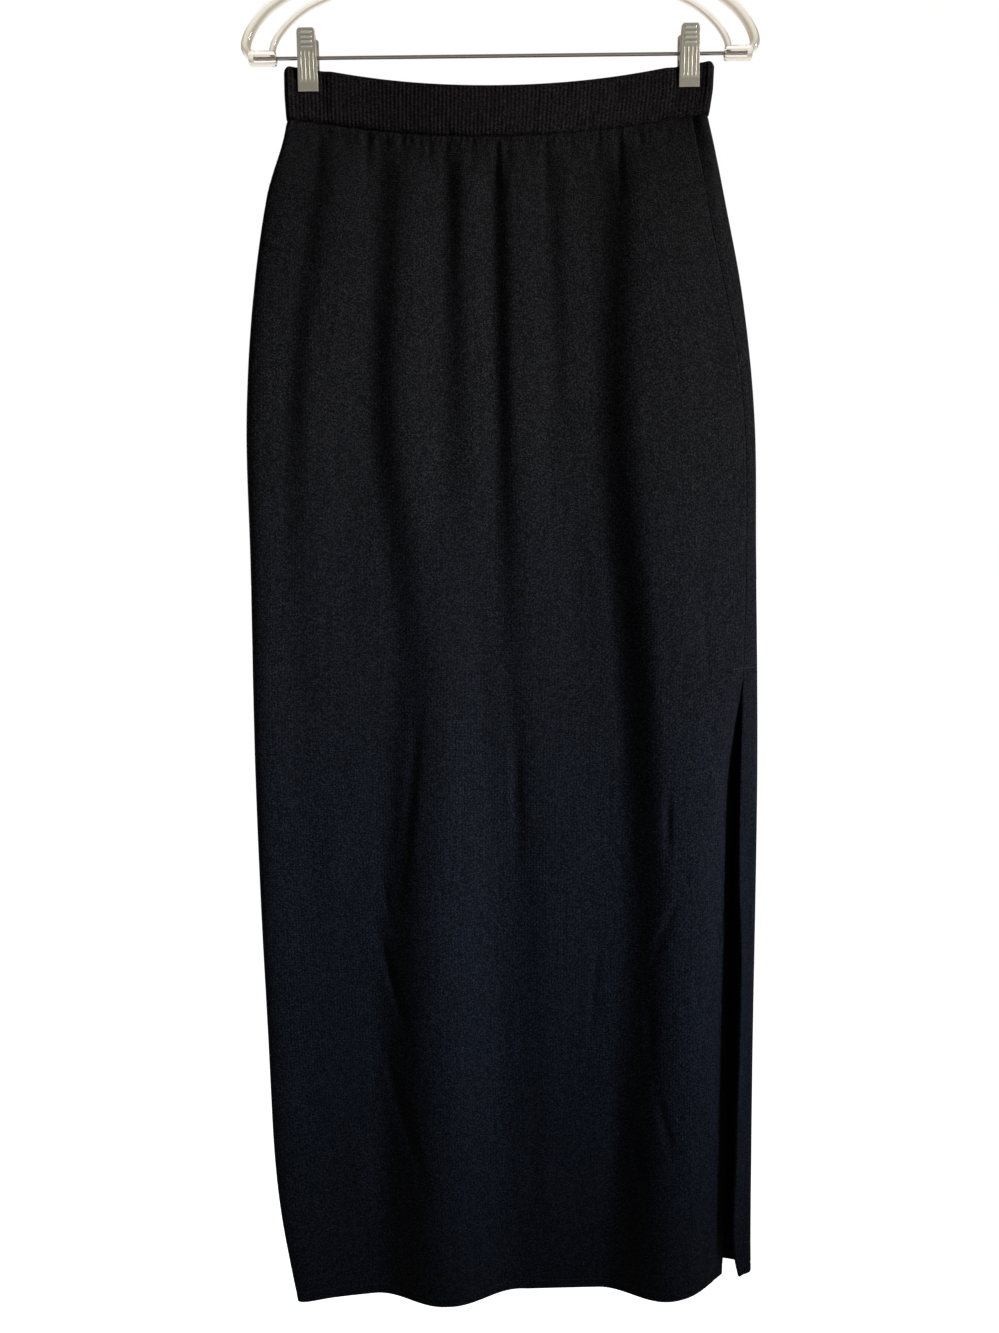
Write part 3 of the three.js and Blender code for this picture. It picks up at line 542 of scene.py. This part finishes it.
def put(data, name="shape"):
    """A new object in the scene."""
    made = bpy.data.objects.new(name, data)
    bpy.context.scene.collection.objects.link(made)
    return made


def finished(name, bm, material, stands_for=(), sharp=None):
    """The finished piece: smooth, in its place on the frame, standing for its solids."""
    for face in bm.faces:
        face.smooth = True
    mesh = mesh_from(bm, name)
    if sharp is not None:
        mesh.set_sharp_from_angle(angle=math.radians(sharp))
    mesh.materials.append(material)
    made = put(mesh, name)
    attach(made, "root")
    if stands_for:
        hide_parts(*stands_for)
    return made


def band_shell(facing):
    """A waistband: rib knit up the outside, over the top fold and down the inside."""
    fold = BAND_WALL / 2
    straight = BAND_HEIGHT - fold
    up = np.linspace(0, straight, BAND_STEPS["up"])
    over = np.linspace(0, np.pi, BAND_STEPS["over"])[1:-1]
    height = np.concatenate([up, straight + fold * np.sin(over), up[::-1], [0]])
    depth = np.concatenate([np.zeros_like(up), fold - fold * np.cos(over), np.full_like(up, BAND_WALL), [0]])
    inward = np.concatenate([np.ones_like(up), np.cos(over), -np.ones_like(up), [1]])
    rib_share = np.concatenate([np.ones_like(up), np.full_like(over, RIB["overTop"]), np.ones_like(up), [1]])
    along = travel(height, depth)
    columns = np.arange(RIB["count"] * RIB["columns"] + 1) / RIB["columns"]
    groove = RIB["depth"] * np.sin(np.pi * (columns % 1)) ** RIB["valley"]
    rows, knit = [], []
    for row in range(len(height)):
        level = min(height[row] / BAND_HEIGHT, 1)
        half, mid, pinch = (
            np.interp(level, BAND_ROWS["level"], BAND_ROWS[name]) for name in ("half", "mid", "pinch"))
        length, at = stretch(band_line(half, mid, pinch), facing, BAND_WRAP)
        place = columns / RIB["count"] * length
        tuck = trough(height[row], WAIST_DIP) * waist_dip_share(place, BAND_WRAP) * (inward[row] > 0)
        x, y = inside(at, place, depth[row] + tuck + groove * rib_share[row] * inward[row]).T
        across = np.clip((x - mid) / half, -1, 1)
        from_fold = half * (1 - np.abs(across))
        corner = BAND_CORNER["drop"] * np.maximum(1 - from_fold / BAND_CORNER["reach"], 0) ** 2
        lower = sag(across, lerp(BAND_SAG["seam"], BAND_SAG["top"], level)) + (corner - BAND_STRETCH) * level
        rows.append(np.stack([x, y, ROD_Z + SEAM + height[row] - lower], axis=-1) * MM)
        knit.append(np.stack([columns * COURSE, np.full_like(columns, along[row])], axis=-1) * MM)
    bm = bmesh.new()
    bm.loops.layers.uv.new(KNIT_MAP)
    laid_grid(bm, np.array(rows), np.array(knit))
    bmesh.ops.remove_doubles(bm, verts=bm.verts, dist=MERGE)
    bmesh.ops.holes_fill(bm, edges=[edge for edge in bm.edges if edge.is_boundary], sides=0)
    bmesh.ops.recalc_face_normals(bm, faces=bm.faces)
    return bm


def sewn(lines):
    """Stitches along lines of points that lie on the cloth."""
    bm = bmesh.new()
    shape = Matrix.Diagonal((STITCH["length"] / 2 * MM, STITCH["radius"] * MM, STITCH["radius"] * MM, 1))
    for line in lines:
        for start, end in zip(line[:-1], line[1:]):
            start, end = Vector(start), Vector(end)
            turn = (end - start).to_track_quat("X", "Z").to_matrix().to_4x4()
            place = Matrix.Translation((start + end) / 2) @ turn
            bmesh.ops.create_uvsphere(bm, u_segments=6, v_segments=6, radius=1, matrix=place @ shape)
    return bm


def hem_line(facing):
    length, at = panel_at(facing, HEM_STITCH)
    place = np.arange(2 * STITCH["pitch"], length - 2 * STITCH["pitch"], STITCH["pitch"])
    return at(place, STITCH_DEPTH)


def slit_line(facing):
    line = []
    for drop in np.arange(SLIT_TOP - TACK_ABOVE_SLIT, HEM_FOLD, STITCH["pitch"]):
        length, at = panel_at(facing, drop)
        place = np.array([length - SLIT_STITCH if facing == "front" else SLIT_STITCH])
        line.append(at(place, STITCH_DEPTH)[0])
    return line


def tack_lines(facing):
    """Two close rows across the seam that hold the top of the slit."""
    for lower in (0, 2 * STITCH["radius"]):
        length, at = panel_at(facing, SLIT_TOP - TACK_ABOVE_SLIT + lower)
        place = np.arange(0.5, TACK_REACH, STITCH["pitch"] / 2)
        yield at(length - place if facing == "front" else place, 0)


def bar_along(points, radius, ring=6):
    """A round bar along a line of points, with closed ends."""
    curve = bpy.data.curves.new("bar", "CURVE")
    curve.dimensions = "3D"
    curve.bevel_depth = radius * MM
    curve.bevel_resolution = ring
    curve.use_fill_caps = True
    line = curve.splines.new("POLY")
    line.points.add(len(points) - 1)
    for knot, point in zip(line.points, points):
        knot.co = (*(np.array(point) * MM), 1)
    holder = bpy.data.objects.new("bar", curve)
    bm = bmesh.new()
    bm.from_mesh(holder.to_mesh())
    bpy.data.objects.remove(holder)
    bpy.data.curves.remove(curve)
    bmesh.ops.remove_doubles(bm, verts=bm.verts, dist=MERGE)
    bmesh.ops.recalc_face_normals(bm, faces=bm.faces)
    return bm


def round_edges(bm, edges, radius, steps):
    bmesh.ops.bevel(bm, geom=edges, offset=radius * MM, segments=steps, profile=0.5, affect="EDGES",
                    material=-1)


def turned_bar(radius, start, end, round_edge, axis="X", sides=40):
    """A straight turned bar between two points on an axis through the rod's middle, with rounded rims."""
    bm = bmesh.new()
    bmesh.ops.create_cone(bm, cap_ends=True, segments=sides, radius1=radius * MM, radius2=radius * MM,
                          depth=abs(end - start) * MM)
    rims = [edge for edge in bm.edges if abs(edge.verts[0].co.z - edge.verts[1].co.z) < 1e-9]
    if round_edge:
        round_edges(bm, rims, round_edge, EDGE_STEPS["rim"])
    if axis == "X":
        bmesh.ops.rotate(bm, verts=bm.verts, matrix=Matrix.Rotation(math.pi / 2, 3, "Y"))
        bmesh.ops.translate(bm, verts=bm.verts, vec=((start + end) / 2 * MM, 0, ROD_Z * MM))
    else:
        bmesh.ops.translate(bm, verts=bm.verts, vec=(0, 0, ((start + end) / 2 + ROD_Z) * MM))
    return bm


def joined(first, added, cut):
    """One closed shape: the first with others added, and then with the cuts taken out."""
    body = put(mesh_from(first))
    steps = [(bm, "UNION") for bm in added] + [(bm, "DIFFERENCE") for bm in cut]
    tools = [put(mesh_from(bm)) for bm, _ in steps]
    for tool, (_, operation) in zip(tools, steps):
        step = body.modifiers.new(operation, "BOOLEAN")
        step.operation = operation
        step.solver = "EXACT"
        step.object = tool
    bm = bmesh.new()
    bm.from_object(body, bpy.context.evaluated_depsgraph_get())
    for made in [body, *tools]:
        bpy.data.objects.remove(made)
    return bm


def rail(size):
    """A rail of the hanger: its half line mirrored and swept from socket to socket, deeper than wide."""
    x = np.concatenate([-np.array(size["x"][:0:-1], float), size["x"]])
    z = np.concatenate([np.array(size["z"][:0:-1], float), size["z"]])
    chord = travel(x, z)
    along = np.linspace(0, chord[-1], SWEEP["rail"])
    x, z = smooth_column(chord, x)(along), smooth_column(chord, z)(along)
    line = np.stack([x, np.zeros_like(x), z + ROD_Z], axis=-1)
    bm = bar_along(line, size["half"], ring=8)
    bmesh.ops.scale(bm, verts=bm.verts, vec=(1, size["deep"] / size["half"], 1))
    return bm


def neck_plate():
    bm = bmesh.new()
    bmesh.ops.create_cube(bm, size=1)
    for vert in bm.verts:
        top = vert.co.z > 0
        half = NECK["halfTop"] if top else NECK["halfFoot"]
        z = NECK["top"] if top else NECK["bottom"]
        vert.co = Vector((2 * vert.co.x * half, vert.co.y * NECK["depth"], z + ROD_Z)) * MM
    round_edges(bm, bm.edges[:], NECK["round"], EDGE_STEPS["neck"])
    return bm


def hanger_moulding():
    """The clear frame: two rails, the neck with its boss, and two sockets bored for the rod."""
    boss = turned_bar(BOSS["radius"], BOSS["bottom"], BOSS["top"], BOSS["round"], "Z")
    added = [rail(RAILS["inner"]), neck_plate(), boss]
    cut = [turned_bar(HOOK["wire"] + GAP, HOOK["foot"] - GAP, BOSS["top"] + 1, 0, "Z")]
    rod_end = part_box("hanger_rod")[1].x / MM
    for way in (-1, 1):
        mouth = way * SOCKET["inner"]
        added.append(turned_bar(SOCKET["radius"], mouth, way * SOCKET["outer"], SOCKET["round"]))
        cut.append(turned_bar(ROD_RADIUS + GAP, mouth - way * SOCKET["radius"], way * (rod_end + GAP), 0))
    return joined(rail(RAILS["outer"]), added, cut)


def hook_wire():
    angles = np.radians(np.arange(HOOK["from"], HOOK["to"] + HOOK["every"] / 2, HOOK["every"]))
    crook = HOOK["radius"] * np.stack([np.cos(angles), np.sin(angles)], axis=-1) + [0, HOOK_CENTRE]
    knots = np.vstack([[0, HOOK["foot"]], [0, BOSS["top"]], HOOK["shoulder"], crook])
    chord = travel(*knots.T)
    along = np.linspace(0, chord[-1], SWEEP["hook"])
    x, z = smooth_column(chord, knots[:, 0])(along), smooth_column(chord, knots[:, 1])(along)
    bm = bar_along(np.stack([x, np.zeros_like(x), z + ROD_Z], axis=-1), HOOK["wire"], ring=8)
    tip = Matrix.Translation(Vector((x[-1], 0, z[-1] + ROD_Z)) * MM)
    bmesh.ops.create_uvsphere(bm, u_segments=24, v_segments=16, radius=HOOK["wire"] * MM, matrix=tip)
    return bm


CLIP_SLOPE = (CLIP_TOP_STANDS_OFF - GRIP_OUT - GAP) / (CLIP["top"] - CLIP["bend"])


def plate_y(z):
    """Where the inner face of a clip's plate stands at a height, easing round the bend."""
    return -(GRIP_OUT + GAP + np.maximum(z - CLIP["bend"], 0) * CLIP_SLOPE)


def clip_plate():
    """Outer and inner points of one pressed plate, for the front."""
    tall = CLIP["top"] - CLIP["foot"]
    rim = np.array(CLIP_ROWS["rim"])
    rows = np.linspace(CLIP_ROWS["start"], tall - CLIP_ROWS["start"], CLIP_ROWS["count"])
    z = CLIP["foot"] + np.concatenate([rim, rows, tall - rim[::-1]])[:, None]
    half = np.interp(z, [CLIP["bend"], CLIP["top"]], [CLIP["footWidth"] / 2, CLIP["topWidth"] / 2])
    into_corner = np.maximum(z - (CLIP["top"] - CLIP["corner"]), 0)
    half -= CLIP["corner"] - np.sqrt(np.maximum(CLIP["corner"] ** 2 - into_corner ** 2, 0))
    rim = np.array(CLIP_COLUMNS["rim"])
    columns = np.linspace(-CLIP_COLUMNS["start"], CLIP_COLUMNS["start"], CLIP_COLUMNS["count"])
    x = half * np.concatenate([-rim[::-1], columns, rim])
    z = np.broadcast_to(z, x.shape)
    ribs, bars = CLIP_RIBS, CLIP_BARS
    rise = np.zeros_like(x)
    ends = smooth_step(z, ribs["bottom"], ribs["bottom"] + ribs["ease"])
    ends = ends * (1 - smooth_step(z, ribs["top"] - ribs["ease"], ribs["top"]))
    for i in range(ribs["count"]):
        place = (i - (ribs["count"] - 1) / 2) * ribs["pitch"]
        rise += ribs["raised"] * bump(x - place, ribs["half"]) * ends
    ends = 1 - smooth_step(np.abs(x), bars["wide"] - bars["ease"], bars["wide"])
    for i in range(bars["count"]):
        place = bars["lowest"] + i * bars["pitch"]
        rise += bars["raised"] * bump(z - place, bars["half"]) * ends
    edge = np.minimum(half - np.abs(x), np.minimum(z - CLIP["foot"], CLIP["top"] - z))
    rounded = CLIP["sheet"] / 2 * np.sqrt(1 - (1 - np.clip(edge / (CLIP["sheet"] / 2), 0, 1)) ** 2)
    middle = plate_y(z) - CLIP["sheet"] / 2
    outer = np.stack([x, middle - rise - rounded, z], axis=-1)
    inner = np.stack([x, middle + rounded, z], axis=-1)
    return outer[::-1], inner[::-1]


def clip_cheek(bm, x):
    """A cheek of a clip: a lug from the plate round the rod, with the rod's hole."""
    rims = []
    for radius in (CHEEK["radius"], ROD_RADIUS + GAP):
        ring = bmesh.ops.create_circle(bm, segments=CHEEK["sides"], radius=radius,
                                       matrix=Matrix.Rotation(math.pi / 2, 4, "Y"))["verts"]
        rims.append(ring)
    for vert in rims[0]:
        if vert.co.y < -1e-6:
            share = math.atan2(vert.co.z, -vert.co.y) / math.pi + 0.5
            vert.co.z = lerp(-CHEEK["below"], CHEEK["above"], share)
            vert.co.y = plate_y(vert.co.z) - CLIP["sheet"] / 2
    edges = list({edge for ring in rims for vert in ring for edge in vert.link_edges})
    web = bmesh.ops.bridge_loops(bm, edges=edges)["faces"]
    bmesh.ops.translate(bm, verts=[*rims[0], *rims[1]], vec=(x - CLIP["sheet"] / 2, 0, 0))
    moved = bmesh.ops.extrude_face_region(bm, geom=web)["geom"]
    bmesh.ops.translate(bm, verts=[part for part in moved if isinstance(part, bmesh.types.BMVert)],
                        vec=(CLIP["sheet"], 0, 0))


def clip_half(side, facing):
    """Half a clip in its place: pressed plate and two cheeks."""
    bm = shell_between(*clip_plate())
    cheeks = bmesh.new()
    for way in (-1, 1):
        clip_cheek(cheeks, way * CHEEK[facing])
    bmesh.ops.recalc_face_normals(cheeks, faces=cheeks.faces)
    scratch = mesh_from(cheeks)
    bm.from_mesh(scratch)
    bpy.data.meshes.remove(scratch)
    turn = Matrix.Rotation(math.pi if facing == "back" else 0, 4, "Z")
    place = Matrix.Translation(Vector((CLIP_X[side], 0, ROD_Z)) * MM)
    bmesh.ops.transform(bm, matrix=place @ turn @ Matrix.Scale(MM, 4), verts=bm.verts)
    return bm


def clip_spring(side):
    """A coil round the rod whose two arms press on the plates."""
    radius = SPRING["outer"] - SPRING["wire"]
    turn = np.linspace(0, SPRING["turns"] * 2 * np.pi + np.pi, SWEEP["coil"])
    reach = SPRING["half"] - SPRING["wire"]
    along = np.linspace(-reach, reach, len(turn))
    coil = np.stack([along, -radius * np.cos(turn), radius * np.sin(turn)], axis=-1)
    arm = [0, 0, -SPRING["arm"]]
    line = np.vstack([coil[0] + arm, coil, coil[-1] + arm]) + [CLIP_X[side], 0, ROD_Z]
    return bar_along(line, SPRING["wire"], ring=3)


def linear(code):
    """A colour for the shader from its sRGB hex value."""
    parts = [int(code[i:i + 2], 16) / 255 for i in (1, 3, 5)]
    return (*(part / 12.92 if part <= 0.04045 else ((part + 0.055) / 1.055) ** 2.4 for part in parts), 1)


# The second word of a node's kind sets this
MODES = {
    "Math": "operation", "Mix": "data_type", "MapRange": "interpolation_type",
    "TexWhiteNoise": "noise_dimensions", "UVMap": "uv_map",
}


def give(node, inputs):
    """Gives a node its inputs: each is linked if it is a socket, and set if it is a value."""
    for name, value in inputs.items():
        if isinstance(value, bpy.types.NodeSocket):
            node.id_data.links.new(value, node.inputs[name])
        else:
            node.inputs[name].default_value = value


def add(tree, kind, inputs=(), out=0):
    """Adds a node with its mode and inputs, and gives back one of its outputs."""
    kind, _, mode = kind.partition(" ")
    made = tree.nodes.new(f"ShaderNode{kind}")
    if mode:
        setattr(made, MODES[kind], mode)
    give(made, inputs if isinstance(inputs, dict) else dict(enumerate(inputs)))
    return made.outputs[out] if made.outputs else None


def new_material(name):
    material = bpy.data.materials.new(name)
    material.use_nodes = True
    return material, material.node_tree


def dressed(material, **inputs):
    """The material with its shader's inputs set or linked."""
    shader = material.node_tree.nodes["Principled BSDF"]
    give(shader, {name.replace("_", " "): value for name, value in inputs.items()})
    return material


def on_cloth(tree):
    """Where a point lies on the cloth's own map: across and down, in metres."""
    split = add(tree, "SeparateXYZ", [add(tree, f"UVMap {KNIT_MAP}")]).node
    return split.outputs[0], split.outputs[1]


def uneven(tree, across, down, scale=1.0, detail=1.0):
    """Soft noise over the cloth."""
    place = add(tree, "CombineXYZ", [across, down])
    return add(tree, "TexNoise", {"Vector": place, "Scale": scale, "Detail": detail})


def off_middle(tree, wale):
    """How far a place lies from the middle of its wale, as a share of the wale."""
    share = add(tree, "Math FRACT", [wale])
    side = add(tree, "Math SUBTRACT", [share, 0.5])
    return add(tree, "Math ABSOLUTE", [side])


def knit_places(tree, wale_mm):
    """Counts of wales across and courses down. The wales waver a little."""
    across, down = on_cloth(tree)
    wale = add(tree, "Math DIVIDE", [across, wale_mm * MM])
    course = add(tree, "Math DIVIDE", [down, COURSE * MM])
    drawn_out = add(tree, "Math MULTIPLY", [course, WAVER["length"]])
    stray = uneven(tree, wale, drawn_out, WAVER["scale"])
    return add(tree, "Math MULTIPLY_ADD", [stray, WAVER["by"], wale]), course


def stitch_height(tree, wale, course):
    """The height of plain knit: rounded columns of V-shaped stitches with narrow grooves between them."""
    across = off_middle(tree, wale)
    doubled = add(tree, "Math MULTIPLY", [across, 2.0])
    groove = add(tree, "Math POWER", [doubled, GROOVE["narrow"]])
    column = add(tree, "Math MULTIPLY_ADD", [groove, -GROOVE["depth"], 1.0])
    slanted = add(tree, "Math SUBTRACT", [course, across])
    angle = add(tree, "Math MULTIPLY", [slanted, math.pi])
    wave = add(tree, "Math SINE", [angle])
    leg = add(tree, "Math ABSOLUTE", [wave])
    leg = add(tree, "Math MULTIPLY_ADD", [leg, LEG_RISE, 1 - LEG_RISE])
    return add(tree, "Math MULTIPLY", [column, leg])


def yarn_shade(tree, wale, course, dark, light):
    """A near-black that shifts from stitch to stitch and in faint streaks down the wales."""
    slanted = add(tree, "Math SUBTRACT", [course, off_middle(tree, wale)])
    cell = []
    for place, count in ((wale, YARN["fibres"]), (slanted, YARN["loops"])):
        finer = add(tree, "Math MULTIPLY", [place, count])
        cell.append(add(tree, "Math FLOOR", [finer]))
    stitch = add(tree, "CombineXYZ", cell)
    grain = add(tree, "TexWhiteNoise 2D", {"Vector": stitch}, "Value")
    bright = add(tree, "Math POWER", [grain, YARN["rare"]])
    drawn_out = add(tree, "Math MULTIPLY", [course, STREAK["length"]])
    streak = uneven(tree, wale, drawn_out, STREAK["scale"], detail=2.0)
    streak = add(tree, "Math MULTIPLY", [streak, STREAK["share"]])
    share = add(tree, "Math MULTIPLY_ADD", [bright, 1 - STREAK["share"], streak])
    return add(tree, "Mix RGBA", {0: share, 6: linear(dark), 7: linear(light)}, 2)


def seam_pull(tree):
    """Small puckers that the waist seam's thread draws up, gone a little below it."""
    across, down = on_cloth(tree)
    wide = add(tree, "Math DIVIDE", [across, SEAM_TUCKS["wide"] * MM])
    long = add(tree, "Math DIVIDE", [down, SEAM_TUCKS["long"] * MM])
    fading = add(tree, "MapRange SMOOTHSTEP", [down, 0.0, SEAM_TUCKS["gone"] * MM, 1.0, 0.0])
    return add(tree, "Math MULTIPLY", [uneven(tree, wide, long), fading])


def painted_seam_shadow(tree, colour):
    """The yarn's colour with painted shadow darkening the waist seam's groove, along a ragged edge."""
    across, down = on_cloth(tree)
    along = add(tree, "Math DIVIDE", [across, SEAM_SHADE["notch"] * MM])
    ragged = uneven(tree, along, 0.0, detail=2.0)
    out = add(tree, "Math MULTIPLY_ADD", [ragged, -SEAM_SHADE["ragged"] * MM, down])
    edge = [part * MM for part in SEAM_SHADE["edge"]]
    lit = add(tree, "MapRange SMOOTHSTEP", [out, *edge, SEAM_SHADE["left"], 1.0])
    # Painted shadow: the yarn's colour is blended towards near-black in the seam's groove
    return add(tree, "Mix RGBA", {0: lit, 6: linear("#010101"), 7: colour}, 2)


def black_knit(name, wale_mm, dark, light, stitch, seam, **gloss):
    """Knit of wool and rayon yarn: nearly black, matt, with a soft sheen where it turns away.

    stitch: how high and how strongly its stitches are raised; seam: how high the waist seam's tucks are.
    """
    material, tree = new_material(name)
    wale, course = knit_places(tree, wale_mm)
    # The knit's colour carries painted shadow in the waist seam's groove
    colour = painted_seam_shadow(tree, yarn_shade(tree, wale, course, dark, light))
    height = stitch_height(tree, wale, course)
    raised = add(tree, "Bump", {"Height": height, "Distance": stitch[0] * MM, "Strength": stitch[1]})
    if seam:
        raised = add(tree, "Bump", {"Height": seam_pull(tree), "Distance": seam * MM, "Normal": raised})
    return dressed(material, Base_Color=colour, Normal=raised, Specular_IOR_Level=0.01,
                   Sheen_Weight=0.015, **gloss)


def sewing_thread():
    """Spun polyester thread: black with a little more shine than the knit, twisted along its length."""
    material, tree = new_material("black_sewing_thread")
    place = add(tree, "TexCoord", out="Object")
    twist = add(tree, "TexNoise", {"Vector": place, "Scale": 1 / (0.5 * MM), "Detail": 1.0})
    colour = add(tree, "Mix RGBA", {0: twist, 6: linear("#0e0e10"), 7: linear("#28282c")}, 2)
    return dressed(material, Base_Color=colour, Roughness=0.6, Specular_IOR_Level=0.05)


def clear_acrylic():
    """Injection-moulded acrylic: clear, faintly warm, with the soft waves and flow lines of the mould."""
    material, tree = new_material("clear_acrylic")
    place = add(tree, "TexCoord", out="Object")
    waves = add(tree, "TexNoise", {"Vector": place, "Scale": 1 / (9 * MM), "Detail": 2.0})
    raised = add(tree, "Bump", {"Height": waves, "Distance": 0.4 * MM, "Strength": 0.35})
    haze = add(tree, "MapRange", {0: waves, 3: 0.02, 4: 0.09})
    colour = add(tree, "Mix RGBA", {0: waves, 6: linear("#faf8f4"), 7: linear("#f1ede5")}, 2)
    return dressed(material, Base_Color=colour, Roughness=haze, Normal=raised, IOR=1.49,
                   Transmission_Weight=1.0)


def worked_metal(name, light, dark, roughness, grain_mm, stretched):
    """A bare or plated metal: its colour and gloss shift along fine marks left by drawing or pressing."""
    material, tree = new_material(name)
    place = add(tree, "TexCoord", out="Object")
    scale = tuple(part / (grain_mm * MM) for part in stretched)
    scaled = add(tree, "Mapping", {"Vector": place, "Scale": scale})
    marks = add(tree, "TexNoise", {"Vector": scaled, "Scale": 1.0, "Detail": 3.0})
    colour = add(tree, "Mix RGBA", {0: marks, 6: linear(dark), 7: linear(light)}, 2)
    gloss = add(tree, "MapRange", {0: marks, 3: roughness - 0.06, 4: roughness + 0.08})
    raised = add(tree, "Bump", {"Height": marks, "Distance": 0.02 * MM, "Strength": 0.5})
    return dressed(material, Base_Color=colour, Roughness=gloss, Normal=raised, Metallic=1.0)


# Cloth
# The body in a fine gauge, and the band in a doubled rib, whose cords are real and whose stitches are drawn
knit = black_knit("fine_black_knit", WALE, "#09090a", "#303033", (0.4, 0.7), 1.2, Roughness=0.85,
                  Sheen_Roughness=0.4, Sheen_Tint=linear("#8d93a3"))
rib = black_knit("black_rib_knit", COURSE, "#090809", "#343133", (0.25, 0.6), 0, Roughness=0.88,
                 Sheen_Roughness=0.45, Sheen_Tint=linear("#8f8c8e"))
thread = sewing_thread()
LENGTHS = ("hip", "thigh", "hem")
panels, bands = {}, {}
for facing in FACINGS:
    solids = [f"{facing}_panel_{length}" for length in LENGTHS]
    shell = shell_between(*panel_faces(facing))
    panels[facing] = finished(f"{facing}_panel_knit", shell, knit, solids)
    band = f"waistband_{facing}"
    bands[facing] = finished(f"{band}_rib", band_shell(facing), rib, [band])
    rows = [hem_line(facing), slit_line(facing), *tack_lines(facing)]
    stitches = finished(f"{facing}_panel_stitches", sewn(rows), thread)

# Hanger
acrylic = clear_acrylic()
rod_steel = worked_metal("drawn_steel", "#8f8783", "#6b635f", 0.32, 0.6, (0.02, 1, 1))
hook_plate = worked_metal("bright_plated_wire", "#c9c8c4", "#b2b0ab", 0.16, 0.8, (0.3, 1, 0.3))
nickel = worked_metal("satin_nickel", "#a9a89f", "#94938a", 0.44, 0.7, (1, 1, 0.15))
spring_wire = worked_metal("spring_steel", "#8f8c86", "#6c6963", 0.3, 0.5, (1, 1, 1))
finished("hanger_frame_clear", hanger_moulding(), acrylic, ["hanger_frame"], sharp=38)
rod_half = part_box("hanger_rod")[1].x / MM
rod = turned_bar(ROD_RADIUS, -rod_half, rod_half, ROD_ROUND)
finished("hanger_rod_steel", rod, rod_steel, ["hanger_rod"], sharp=40)
finished("hanger_hook_wire", hook_wire(), hook_plate, ["hanger_hook"], sharp=40)
for side in CLIP_X:
    for facing in FACINGS:
        solid = f"clip_{side}_{facing}"
        finished(f"{solid}_pressing", clip_half(side, facing), nickel, [solid], sharp=50)
    finished(f"clip_{side}_coil", clip_spring(side), spring_wire, [f"clip_{side}_spring"])

# Camera: a phone held a little below the middle of the skirt, tipped down and rolled slightly
PHOTO_HEIGHT = 1333
PHOTO_FOCAL = 1001.5
SENSOR = 36
CAMERA_AT = Vector((-6.3, -800, ROD_Z - 372.43)) * MM
PITCH, ROLL = math.radians(6.4), math.radians(0.7)
tipped = Matrix.Rotation(math.pi / 2 - PITCH, 4, "X") @ Matrix.Rotation(-ROLL, 4, "Z")
lens = bpy.data.cameras.new("phone")
lens.sensor_width = SENSOR
lens.lens = SENSOR * PHOTO_FOCAL / PHOTO_HEIGHT
lens.clip_start = 0.05
camera = put(lens, "phone")
camera.matrix_world = Matrix.Translation(CAMERA_AT) @ tipped
bpy.context.scene.camera = camera

# Floor, room light and lamps
FLOOR_Z = -1.42
FLOOR_HALF = 30
floor_bm = bmesh.new()
floor_place = Matrix.Translation((0, 0, FLOOR_Z))
bmesh.ops.create_grid(floor_bm, x_segments=1, y_segments=1, size=FLOOR_HALF, matrix=floor_place)
floor = put(mesh_from(floor_bm, "floor"), "floor")
floor.visible_diffuse = False
floor_paint, _ = new_material("matt_white_floor")
floor.data.materials.append(dressed(
    floor_paint, Base_Color=linear("#f4f4f5"), Roughness=0.9, Emission_Color=linear("#ffffff"),
    Emission_Strength=1.0))

world = bpy.data.worlds.new("room")
bpy.context.scene.world = world
world.use_nodes = True
room = world.node_tree
room.nodes.clear()
# What metal and clear plastic see: a beige room, paler behind the skirt and overhead
way = add(room, "SeparateXYZ", [add(room, "TexCoord", out="Generated")]).node
behind = add(room, "MapRange SMOOTHSTEP", [way.outputs[1], 0.8, 0.99])
above = add(room, "MapRange SMOOTHSTEP", [way.outputs[2], 0.5, 0.95])
paler = add(room, "Math MAXIMUM", [behind, above])
tone = add(room, "Mix RGBA", {0: paler, 6: linear("#b5ab9b"), 7: linear("#f6f1e8")}, 2)
wall = add(room, "Background", [tone, 1.0])
# What lights the cloth, and what the camera sees
shade = add(room, "Background", [linear("#d6d3d0"), 0.05])
white = add(room, "Background", [linear("#ffffff"), 1.0])
ray = add(room, "LightPath").node
lit = add(room, "MixShader", [ray.outputs["Is Diffuse Ray"], wall, shade])
seen = add(room, "MixShader", [ray.outputs["Is Camera Ray"], lit, white])
add(room, "OutputWorld", [seen])


def lamp(name, place, target, size, power, colour, spread, glints=True):
    """A soft square lamp aimed at a point, with its light fanned out to an angle."""
    light = bpy.data.lights.new(name, "AREA")
    light.size = size
    light.energy = power
    light.spread = math.radians(spread)
    light.color = linear(colour)[:3]
    made = put(light, name)
    made.visible_camera = False
    made.visible_glossy = glints
    made.visible_transmission = glints
    turn = (Vector(target) - Vector(place)).to_track_quat("-Z", "Y").to_matrix().to_4x4()
    made.matrix_world = Matrix.Translation(place) @ turn


lamp("window", (2.5, -1.55, -0.38), (-0.22, 0, -0.46), 0.8, 3.8, "#fff8f1", 24)
lamp("low_sky", (2.1, -1.3, -0.98), (-0.15, 0, -0.8), 0.5, 0.98, "#38a4ff", 19, glints=False)
lamp("fill", (-1.2, -1.8, -0.4), (0, 0, -0.6), 1.6, 0.2, "#cfe0ff", 180)
lamp("room_behind", (-2.0, 1.6, -0.35), (0, 0, -0.58), 1.4, 18.0, "#f3f3ff", 44, glints=False)
bpy.context.scene.view_settings.view_transform = "Standard"
